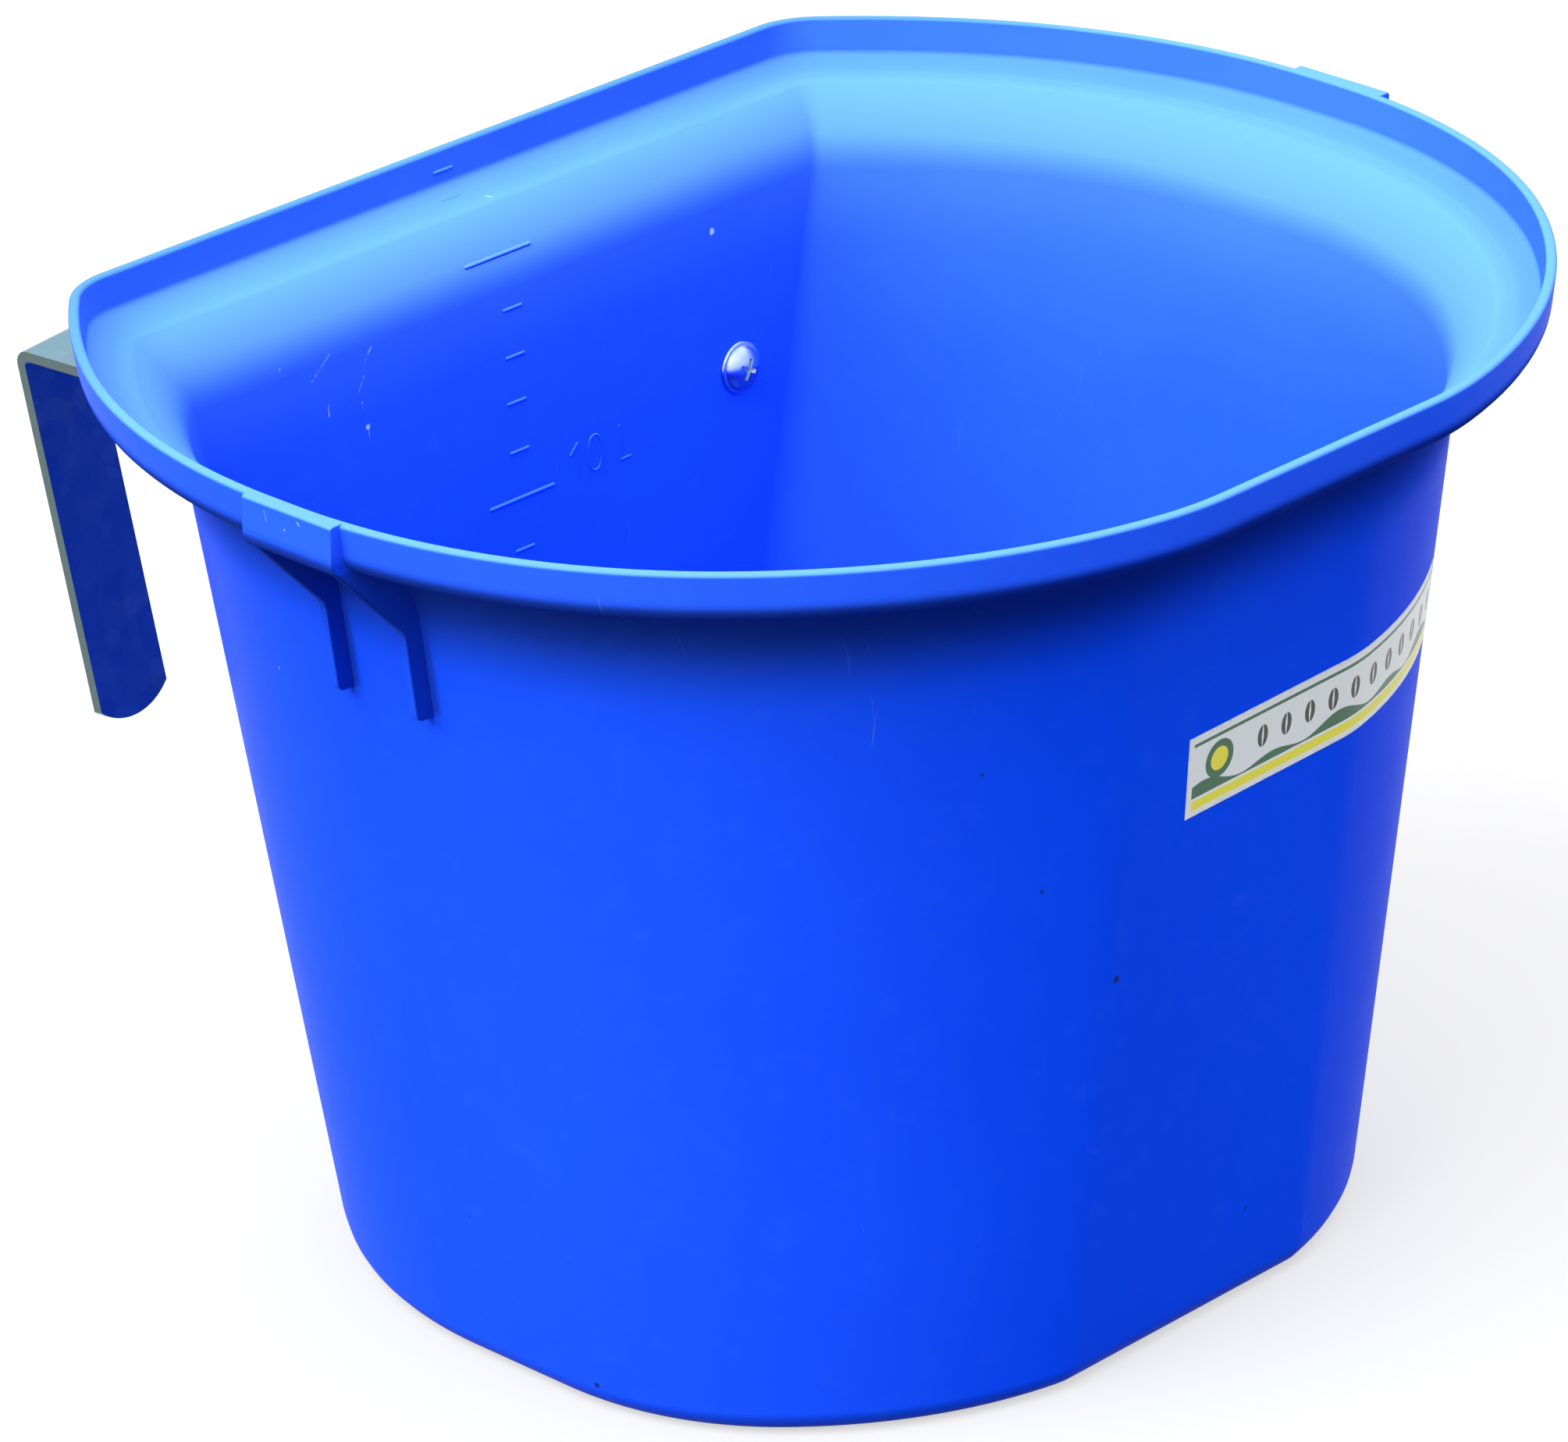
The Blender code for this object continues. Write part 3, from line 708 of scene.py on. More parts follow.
@dataclass(frozen=True)
class BrightZinc:
    """Bright zinc plate on the screws and nuts, with faint blue passivation and fine turning marks, painted
    shade on downward faces and a painted highlight on faces turned up and to the left.
    """

    colour: Colour = (0.60, 0.76, 0.76)
    tint: Colour = (0.50, 0.66, 0.70)
    # Dark navy of the painted shade on downward faces
    underside: Colour = (0.09, 0.16, 0.24)
    tarnish: Colour = (0.22, 0.24, 0.26)
    roughness: float = 0.23
    pit_share: float = 0.6
    patch_share: float = 0.4
    painted_underside_shade_share: float = 0.85
    painted_highlight_share: float = 0.75
    facing_down: Span = (0.13, -0.04)

    def material(self) -> bpy.types.Material:
        """Make the material.

        Returns:
            The material.
        """
        material, sheet = new_material("bright_zinc")
        place = sheet.place()
        cloud = sheet.noise(place, 240.0, 3.0, 0.6)
        turning = sheet.noise(sheet.stretched(place, (200.0, 4200.0, 200.0)), 1.0, 2.0)
        pits = sheet.cells(place, 900.0, "Distance").step(0.16, 0.06) * cloud.step(0.52, 0.68)
        colour = sheet.mix(cloud.step(0.35, 0.72), self.colour, self.tint)
        patches = sheet.noise(place, 520.0, 2.0).step(0.66, 0.80)
        colour = sheet.mix(pits * self.pit_share + patches * self.patch_share, colour, self.tarnish)
        sideways, _, up = sheet.parts(sheet.facing())
        # Painted shade: downward faces of the heads and nuts turn dark navy
        colour = sheet.mix(up.step(*self.facing_down) * self.painted_underside_shade_share, colour, self.underside)
        # Painted highlight: faces turned up and to the left lose their metal and show their pale colour
        painted_highlight = up.step(0.08, 0.26) * sideways.step(0.30, -0.10)
        gloss = self.roughness + cloud * 0.10 + pits * 0.2
        normal = sheet.relief(turning, 0.00003, 0.25)
        normal = sheet.relief(sheet.noise(place, 1500.0, 2.0), 0.00003, 0.3, normal)
        metal = 1.0 - painted_highlight * self.painted_highlight_share
        sheet.surface(Base_Color=colour, Roughness=gloss, Normal=normal, Metallic=metal)
        return material


@dataclass(frozen=True)
class PrintedVinyl:
    """Glossy white vinyl with a plain farm pattern: a yellow ground strip, green hills and dark grains.

    The length and the height are in metres. Places on the print are in millimetres from its lower left,
    and the ring's two edges are squares of distances from its middle. A wave of the hills has its turn
    in radians a millimetre and its height.
    """

    length: float
    height: float
    white: Colour = (0.74, 0.79, 0.82)
    shade: Colour = (0.67, 0.72, 0.76)
    green: Colour = (0.006, 0.100, 0.035)
    yellow: Colour = (0.78, 0.74, 0.02)
    black: Colour = (0.012, 0.014, 0.016)
    soil: Colour = (0.30, 0.32, 0.28)
    border: float = 2.0
    ground: Span = (1.7, 4.5)
    hill_height: float = 7.2
    hill_gap: float = 0.7
    long_wave: Span = (0.11, 0.9)
    short_wave: Span = (0.23, 1.3)
    line: Span = (20.3, 21.4)
    middle: float = 13.6
    ring_place: float = 12.5
    ring_outside: Span = (31.0, 29.6)
    ring_inside: Span = (12.0, 11.0)
    first_grain: float = 25.0
    grain_pitch: float = 9.5
    grain_size: Span = (2.0, 3.2)
    crisp: float = 0.1
    roughness: float = 0.22
    shade_share: float = 0.25
    soil_share: float = 0.30
    soil_edge: Span = (1.3, 0.0)

    def material(self) -> bpy.types.Material:
        """Make the material.

        Returns:
            The material.
        """
        material, sheet = new_material("printed_vinyl")
        place = sheet.place()
        u, v, _ = sheet.parts(sheet.add("ShaderNodeTexCoord", out="UV"))
        length = self.length * MILLIMETRES
        height = self.height * MILLIMETRES
        along = u * length
        up = v * height
        above = up - self.middle
        inside = along.between(self.border, length - self.border, self.crisp)

        strip = up.between(*self.ground, self.crisp) * inside
        ridge = self.hill_height + (along * self.short_wave[0]).wave() * self.short_wave[1]
        ridge = ridge + (along * self.long_wave[0] + 1.0).wave() * self.long_wave[1]
        over_strip = self.ground[1] + self.hill_gap
        hills = (up - ridge).step(0.08, -0.08) * up.step(over_strip, over_strip + self.crisp) * inside
        lane = (along - self.first_grain).cycle(self.grain_pitch) - self.grain_pitch / 2
        oval = (lane / self.grain_size[0]).squared() + (above / self.grain_size[1]).squared()
        grain = oval.step(1.08, 0.98) * along.step(self.first_grain, self.first_grain + self.crisp)
        groove = (lane.size() + above.size() * 0.10).step(0.50, 0.36) * grain
        from_middle = (along - self.ring_place).squared() + above.squared()
        disc = from_middle.step(*self.ring_outside)
        hole = from_middle.step(*self.ring_inside)
        top_line = up.between(*self.line, self.crisp) * inside

        uneven = sheet.noise(place, 160.0, 2.0) * self.shade_share
        colour = sheet.mix(uneven, self.white, self.shade)
        colour = sheet.mix(strip, colour, self.yellow)
        colour = sheet.mix(hills.at_least(disc).at_least(top_line), colour, self.green)
        colour = sheet.mix(hole, colour, self.yellow)
        colour = sheet.mix(grain, colour, self.black)
        colour = sheet.mix(groove, colour, self.white)
        edge = up.at_most(height - up).at_most(along)
        soiled = edge.step(*self.soil_edge) * sheet.noise(place, 420.0, 3.0).step(0.40, 0.66)
        colour = sheet.mix(soiled * self.soil_share, colour, self.soil)
        gloss = self.roughness + sheet.noise(place, 60.0, 2.0) * 0.14
        normal = sheet.relief(sheet.noise(place, 75.0, 2.0), 0.0009, 0.12)
        normal = sheet.relief(sheet.noise(place, 1400.0, 2.0), 0.00003, 0.2, normal)
        sheet.surface(Base_Color=colour, Roughness=gloss, Normal=normal, IOR=1.5)
        return material


@dataclass(frozen=True)
class StudioFloor:
    """Matt white sweep under the trough."""

    seen: Colour = (0.22, 0.22, 0.22)
    bounce: Colour = (0.10, 0.10, 0.11)
    glow: float = 0.58

    def material(self) -> bpy.types.Material:
        """Make the material: pale where it is seen or mirrored, and quieter as a source of light.

        Returns:
            The material.
        """
        material, sheet = new_material("studio_floor")
        seen = sheet.seen()
        colour = sheet.mix(seen, self.bounce, self.seen)
        glow = sheet.mix(seen * self.glow, (0.0, 0.0, 0.0), (1.0, 1.0, 1.0))
        sheet.surface(
            Base_Color=colour, Roughness=0.9, Specular_IOR_Level=0.1, Emission_Color=glow,
            Emission_Strength=1.0)
        return material


# Modelling by hand

class Bench:
    """Modelling moves that the pieces share."""

    @staticmethod
    def pick(*pieces: bpy.types.Object) -> None:
        """Select only these pieces and make the first one active.

        Args:
            pieces: The pieces.
        """
        bpy.ops.object.select_all(action="DESELECT")
        for piece in pieces:
            piece.select_set(True)
        bpy.context.view_layer.objects.active = pieces[0]

    @staticmethod
    @contextmanager
    def editing(piece: bpy.types.Object, kind: str = "VERT") -> Iterator[None]:
        """Edit mode on one piece.

        Args:
            piece: The piece to shape.
            kind: What is selected there: VERT, EDGE or FACE.

        Yields:
            Nothing, while the piece is in edit mode.
        """
        Bench.pick(piece)
        bpy.ops.object.mode_set(mode="EDIT")
        bpy.ops.mesh.select_mode(type=kind)
        yield
        bpy.ops.object.mode_set(mode="OBJECT")

    @staticmethod
    def add(name: str, primitive: Callable[..., set], **settings: object) -> bpy.types.Object:
        """Add a primitive with nothing else selected.

        Args:
            name: The piece's name.
            primitive: The operator that adds it.
            settings: The operator's settings.

        Returns:
            The piece.
        """
        bpy.ops.object.select_all(action="DESELECT")
        primitive(**settings)
        return Bench.named(name)

    @staticmethod
    def named(name: str) -> bpy.types.Object:
        """The active piece, with a name for it and its mesh.

        Args:
            name: The name.

        Returns:
            The piece.
        """
        piece = bpy.context.object
        piece.name = piece.data.name = name
        return piece

    @staticmethod
    def blank(name: str) -> bpy.types.Object:
        """A piece with nothing in it yet, at the origin.

        Args:
            name: The piece's name.

        Returns:
            The piece.
        """
        piece = Bench.add(name, bpy.ops.mesh.primitive_plane_add, size=0.01)
        with Bench.editing(piece):
            bpy.ops.mesh.select_all(action="SELECT")
            bpy.ops.mesh.delete(type="VERT")
        return piece

    @staticmethod
    def select(piece: bpy.types.Object, kind: str, wanted: Callable[..., bool]) -> None:
        """Select edges or faces of the piece in edit mode, and nothing else.

        Args:
            piece: The piece that is edited.
            kind: What is looked at: edges or faces.
            wanted: Says whether one of them is wanted.
        """
        bpy.ops.mesh.select_all(action="DESELECT")
        mesh = bmesh.from_edit_mesh(piece.data)
        for item in getattr(mesh, kind):
            if wanted(item):
                item.select_set(True)
        bmesh.update_edit_mesh(piece.data)

    @staticmethod
    def face_outwards(merge: float = 0.0) -> None:
        """Point all faces of the piece in edit mode outwards.

        Args:
            merge: Points closer than this are made one first.
        """
        bpy.ops.mesh.select_all(action="SELECT")
        if merge > 0.0:
            bpy.ops.mesh.remove_doubles(threshold=merge)
        bpy.ops.mesh.normals_make_consistent(inside=False)

    @staticmethod
    def modify(piece: bpy.types.Object, kind: str, **settings: object) -> None:
        """Add one modifier and apply it.

        Args:
            piece: The piece to change.
            kind: The modifier's type.
            settings: The modifier's settings.
        """
        Bench.pick(piece)
        modifier = piece.modifiers.new(kind.lower(), kind)
        for key, value in settings.items():
            setattr(modifier, key, value)
        bpy.ops.object.modifier_apply(modifier=modifier.name)

    @staticmethod
    def soften(piece: bpy.types.Object, width: float, segments: int, angle: float) -> None:
        """Bevel the edges of a piece that are sharper than an angle in degrees."""
        Bench.modify(piece, "BEVEL", width=width, segments=segments, limit_method="ANGLE",
                     angle_limit=math.radians(angle))

    @staticmethod
    def carve(piece: bpy.types.Object, tool: bpy.types.Object, operation: str = "DIFFERENCE") -> None:
        """Cut a tool out of a piece, or unite or intersect the two, and remove the tool."""
        Bench.modify(piece, "BOOLEAN", operation=operation, solver="EXACT", object=tool)
        bpy.data.objects.remove(tool, do_unlink=True)

    @staticmethod
    def settle(piece: bpy.types.Object) -> bpy.types.Object:
        """Put a piece's place, turn and size into its mesh.

        Args:
            piece: The piece.

        Returns:
            The same piece.
        """
        Bench.pick(piece)
        bpy.ops.object.transform_apply(location=True, rotation=True, scale=True)
        return piece

    @staticmethod
    def twin(piece: bpy.types.Object, name: str) -> bpy.types.Object:
        """A copy with its own mesh.

        Args:
            piece: The piece to copy.
            name: The copy's name.

        Returns:
            The copy.
        """
        Bench.pick(piece)
        bpy.ops.object.duplicate(linked=False)
        return Bench.named(name)

    @staticmethod
    def join(pieces: list[bpy.types.Object], name: str) -> bpy.types.Object:
        """Make several pieces one.

        Args:
            pieces: The pieces; the first one keeps its object.
            name: The joined piece's name.

        Returns:
            The joined piece.
        """
        Bench.pick(*pieces)
        bpy.ops.object.join()
        return Bench.named(name)

    @staticmethod
    def smooth(piece: bpy.types.Object, angle: float = 35.0) -> None:
        """Shade a piece smooth up to an angle between faces.

        Args:
            piece: The piece.
            angle: The widest angle that is smoothed.
        """
        Bench.pick(piece)
        bpy.ops.object.shade_smooth_by_angle(angle=math.radians(angle))
        Bench.modify(piece, "WEIGHTED_NORMAL", keep_sharp=True, weight=80)

    @staticmethod
    def paint(piece: bpy.types.Object, finish: bpy.types.Material) -> None:
        """Give a piece one finish and no other."""
        piece.data.materials.clear()
        piece.data.materials.append(finish)

    @staticmethod
    def cylinder(name: str, radius: float, depth: float, centre: Vector, axis: Vector,
                 sides: int = 48) -> bpy.types.Object:
        """A cylinder whose place is in its mesh.

        Args:
            name: The piece's name.
            radius: Its radius.
            depth: Its length along the axis.
            centre: Its middle.
            axis: The direction that it lies along.
            sides: How many sides it has.

        Returns:
            The piece.
        """
        return Bench.settle(Bench.add(
            name, bpy.ops.mesh.primitive_cylinder_add, vertices=sides, radius=radius, depth=depth,
            location=centre, rotation=axis.to_track_quat("Z", "X").to_euler()))


class Pen:
    """Draws edges in the piece that is being edited, one move after another."""

    def __init__(self, start: Vector) -> None:
        """Put the pen down.

        Args:
            start: The first point.
        """
        bpy.ops.mesh.select_all(action="DESELECT")
        bpy.ops.mesh.primitive_plane_add(size=0.001, location=start)
        bpy.ops.mesh.merge(type="CENTER")
        self.place = Vector(start)

    def line(self, step: Vector) -> None:
        """Draw a straight edge by a step."""
        bpy.ops.mesh.extrude_vertices_move(TRANSFORM_OT_translate={"value": step})
        self.place = self.place + step

    def line_to(self, point: Vector) -> None:
        """Draw a straight edge to a point."""
        self.line(point - self.place)

    def arc(self, centre: Vector, axis: Vector, angle: float, steps: int) -> None:
        """Draw an arc.

        Args:
            centre: The arc's centre.
            axis: The axis that it turns about.
            angle: Its turn, in degrees, right-handed about the axis.
            steps: How many edges it has.
        """
        bpy.ops.mesh.spin(steps=steps, angle=-math.radians(angle), center=centre, axis=axis)
        turn = Matrix.Rotation(math.radians(angle), 3, axis)
        self.place = centre + turn @ (self.place - centre)


# Trough

@dataclass(frozen=True)
class TroughShape:
    """Plan outlines and section that the moulding, the ears, the scale and the label share."""

    height: float = 0.2659
    wall: float = 0.003
    overhang: float = 0.0191
    rim_setback: float = 0.0348
    base_back_flat: float = 0.0624
    base_back_radii: Triple = (0.0471, 0.1720, 0.1115)
    base_side_flat: float = 0.0346
    base_front_radii: Triple = (0.0828, 0.1287, 0.0156)
    rim_back_flat: float = 0.1284
    rim_back_radii: Triple = (0.0204, 0.2125, 0.1714)
    rim_side_flat: float = 0.0086
    rim_front_radii: Triple = (0.1548, 0.1869, 0.1014)
    back_turns: Triple = (44.0, 13.0, 33.0)
    front_turns: Triple = (43.0, 35.0, 12.0)
    lip_face: float = 0.009
    lip_fillet: float = 0.0025
    land_length: float = 0.0054
    land_slope: float = 22.0
    ledge_length: float = 0.003
    ledge_slope: float = 6.0
    ledge_fillet: float = 0.002
    ledge_edge_round: float = 0.001
    shoulder_slope: float = 38.0
    floor_round: float = 0.0045
    arc_step: float = 2.0
    fillet_steps: int = 6
    ledge_steps: int = 2
    edge_steps: int = 5
    shoulder_steps: int = 14
    wall_steps: int = 8
    floor_steps: int = 6
    screw_x: float = 0.0871
    screw_drop: float = 0.0839
    screw_hole_radius: float = 0.0033

    @property
    def base_depth(self) -> float:
        """Depth of the base from back to front.

        Returns:
            The depth.
        """
        return sum(
            size * (sine(heading) if turn == 0.0 else cosine(heading) - cosine(heading + turn))
            for heading, size, turn in self.moves(0.0, 0.0))

    def back_y(self, z: float, outset: float = 0.0) -> float:
        """Place of the back wall at a height, an outset outside its outer face."""
        back = self.base_depth / 2
        return blend(back, back + self.rim_setback - self.overhang, z / self.height) + outset

    def tilt(self) -> float:
        """Angle by which the back wall leans back from upright."""
        return math.degrees(math.atan2(self.back_y(self.height) - self.back_y(0.0), self.height))

    def at_screw(self, side: Side) -> Matrix:
        """Where one side's screw comes out of the back wall.

        Args:
            side: The side.

        Returns:
            Its place and turn, with +Y straight out of the wall.
        """
        z = self.height - self.screw_drop
        place = Matrix.Translation((side.value * self.screw_x, self.back_y(z), z))
        return place @ Matrix.Rotation(math.radians(-self.tilt()), 4, "X")

    def moves(self, z: float, outset: float) -> list[Triple]:
        """Half outline at one height, from the middle of the back, as headings, sizes and turns.

        A heading is in degrees clockwise from +X. The size is a length straight on where the turn is 0,
        and elsewhere the radius of an arc that turns by so many degrees.

        Args:
            z: The height.
            outset: How far outside the wall's outer face the outline runs.

        Returns:
            The moves after the start in the middle of the back.
        """
        share = z / self.height

        def arcs(base: Triple, rim: Triple, turns: Triple) -> list[Span]:
            """Radii at this height, with their turns."""
            radii = [blend(low, high - self.overhang, share) + outset for low, high in zip(base, rim)]
            return list(zip(radii, turns))

        found = []
        heading = 0.0
        for size, turn in (
            (blend(self.base_back_flat, self.rim_back_flat, share), 0.0),
            *arcs(self.base_back_radii, self.rim_back_radii, self.back_turns),
            (blend(self.base_side_flat, self.rim_side_flat, share), 0.0),
            *arcs(self.base_front_radii, self.rim_front_radii, self.front_turns),
        ):
            found.append((heading, size, turn))
            heading += turn
        return found

    def half_points(self, z: float, outset: float) -> list[Vector]:
        """Points of the half outline, from the middle of the back to the middle of the front.

        Args:
            z: The height.
            outset: How far outside the wall's outer face the outline runs.

        Returns:
            The points.
        """
        place = Vector((0.0, self.back_y(z, outset), z))
        points = [place.copy()]
        for heading, size, turn in self.moves(z, outset):
            along = direction(heading)
            if turn == 0.0:
                place = place + along * size
                points.append(place)
                continue
            spoke = Vector((-along.y, along.x, 0.0)) * size
            centre = place - spoke
            steps = math.ceil(turn / self.arc_step)
            for step in range(1, steps + 1):
                place = centre + Matrix.Rotation(math.radians(-turn * step / steps), 3, "Z") @ spoke
                points.append(place)
        points.append(Vector((0.0, place.y, z)))
        return points

    def half_width(self, y: float, z: float, outset: float) -> float:
        """Distance of the outline from the middle plane.

        Args:
            y: The place along the middle plane.
            z: The height.
            outset: How far outside the wall's outer face the outline runs.

        Returns:
            The distance.
        """
        points = self.half_points(z, outset)
        for back, front in zip(points, points[1:]):
            if front.y < y <= back.y:
                return blend(back.x, front.x, (back.y - y) / (back.y - front.y))
        raise ValueError("the outline doesn't reach that far")

    def inside_area(self, z: float, outset: float) -> float:
        """Area inside the outline."""
        points = self.half_points(z, outset)
        return abs(sum(a.x * b.y - b.x * a.y for a, b in zip(points, points[1:])))

    def stations(self) -> list[Triple]:
        """Inner face from the rim to the wall.

        Returns:
            Each station's z, outset and slope, where a slope of 90 is upright.
        """
        edge = self.wall + self.ledge_edge_round
        used = (
            self.lip_fillet * (1.0 - sine(self.land_slope))
            + self.land_length * cosine(self.land_slope)
            + self.ledge_fillet * (sine(self.land_slope) - sine(self.ledge_slope))
            + self.ledge_length * cosine(self.ledge_slope)
            + edge * (sine(self.shoulder_slope) - sine(self.ledge_slope))
        )
        shoulder = (self.overhang + self.wall - used) / (1.0 - sine(self.shoulder_slope))

        # Lengths straight on have no steps, and radii turn to a new slope in so many steps
        runs = (
            (self.lip_face, 90.0, 0),
            (self.lip_fillet, self.land_slope, self.fillet_steps),
            (self.land_length, self.land_slope, 0),
            (self.ledge_fillet, self.ledge_slope, self.ledge_steps),
            (self.ledge_length, self.ledge_slope, 0),
            (edge, self.shoulder_slope, self.edge_steps),
            (shoulder, 90.0, self.shoulder_steps),
        )
        inward = drop = 0.0
        slope = 90.0
        found = [(self.height, self.overhang, slope)]
        for size, new_slope, steps in runs:
            start = slope
            for step in range(1, max(steps, 1) + 1):
                if steps == 0:
                    inward += size * cosine(slope)
                    drop += size * sine(slope)
                else:
                    angle = blend(start, new_slope, step / steps)
                    inward += size * abs(sine(angle) - sine(slope))
                    drop += size * abs(cosine(angle) - cosine(slope))
                    slope = angle
                found.append((self.height - drop, self.overhang - inward, slope))
        return found

    def inner_path(self) -> list[Triple]:
        """The whole inner face from the rim to the floor.

        Returns:
            Each station's z, outset and slope, where a slope of 90 is upright.
        """
        path = self.stations()
        top = path[-1][0]
        bottom = self.wall + self.floor_round
        for step in range(1, self.wall_steps):
            path.append((blend(top, bottom, step / self.wall_steps), -self.wall, 90.0))
        for step in range(self.floor_steps + 1):
            angle = 90.0 * (1.0 - step / self.floor_steps)
            z = bottom - self.floor_round * cosine(angle)
            path.append((z, -self.wall - self.floor_round * (1.0 - sine(angle)), angle))
        return path

    def mid_wall(self, y: float, stations: list[Triple]) -> list[Vector]:
        """Middle of the side wall's thickness in one XZ plane.

        Args:
            y: The plane.
            stations: Stations of the inner face.

        Returns:
            A point for each station.
        """
        points = []
        for z, outset, slope in stations:
            z_mid = z - self.wall / 2 * cosine(slope)
            x = self.half_width(y, z_mid, outset + self.wall / 2 * sine(slope))
            points.append(Vector((x, y, z_mid)))
        return points

    def draw_half(self, z: float, outset: float) -> None:
        """Draw the half outline in the piece that is being edited.

        Args:
            z: The height.
            outset: How far outside the wall's outer face the outline runs.
        """
        pen = Pen(Vector((0.0, self.back_y(z, outset), z)))
        for heading, size, turn in self.moves(z, outset):
            along = direction(heading)
            if turn == 0.0:
                pen.line(along * size)
                continue
            centre = pen.place + Vector((along.y, -along.x, 0.0)) * size
            pen.arc(centre, Z_AXIS, -turn, math.ceil(turn / self.arc_step))
        pen.line_to(Vector((0.0, pen.place.y, z)))


@dataclass
class Moulding:
    """The one-piece moulded trough, with its screw holes."""

    shape: TroughShape
    rim_round: float = 0.001
    rim_steps: int = 4
    rim_angle: float = 60.0
    merge: float = 0.00002

    def build(self, finish: bpy.types.Material) -> bpy.types.Object:
        """Model the trough and dress it.

        Args:
            finish: The plastic.

        Returns:
            The piece.
        """
        trough = Bench.blank("moulded_trough")
        path = self.shape.inner_path()
        with Bench.editing(trough):
            for z, outset, _ in path:
                self.shape.draw_half(z, outset)
            bpy.ops.mesh.select_mode(type="EDGE")
            for (upper, _, _), (lower, _, _) in zip(path, path[1:]):
                self._bridge(trough, upper, lower)
        Bench.modify(trough, "MIRROR", use_axis=(True, False, False), use_mirror_merge=True,
                     merge_threshold=self.merge, use_clip=True)
        floor = path[-1][0]
        with Bench.editing(trough, "EDGE"):
            Bench.select(trough, "edges", lambda edge: all(
                abs(end.co.z - floor) < SAME_HEIGHT for end in edge.verts))
            bpy.ops.mesh.edge_face_add()
            bpy.ops.mesh.select_all(action="SELECT")
            bpy.ops.mesh.normals_make_consistent(inside=True)
            mesh = bmesh.from_edit_mesh(trough.data)
            lowest = min(mesh.faces, key=lambda face: face.calc_center_median().z)
            if lowest.normal.z < 0.0:
                bpy.ops.mesh.flip_normals()
        Bench.modify(trough, "SOLIDIFY", thickness=self.shape.wall, offset=-1.0, use_even_offset=True,
                     use_quality_normals=True)
        Bench.soften(trough, self.rim_round, self.rim_steps, self.rim_angle)
        for side in Side:
            screw = self.shape.at_screw(side)
            Bench.carve(trough, Bench.cylinder(
                "screw_hole", self.shape.screw_hole_radius, DRILL_LENGTH, screw.to_translation(),
                screw.to_3x3() @ Y_AXIS))
        Bench.smooth(trough)
        Bench.paint(trough, finish)
        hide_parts("trough_body")
        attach(trough, "trough")
        return trough

    @staticmethod
    def _bridge(trough: bpy.types.Object, upper: float, lower: float) -> None:
        """Skin between the outlines drawn at two heights.

        Args:
            trough: The piece that is edited.
            upper: The higher outline's height.
            lower: The lower outline's height.
        """
        def on_either(edge: bmesh.types.BMEdge) -> bool:
            """Whether an edge lies along one of the two outlines."""
            a, b = (end.co.z for end in edge.verts)
            return abs(a - b) < SAME_HEIGHT and min(abs(a - upper), abs(a - lower)) < SAME_HEIGHT

        Bench.select(trough, "edges", on_either)
        bpy.ops.mesh.bridge_edge_loops()


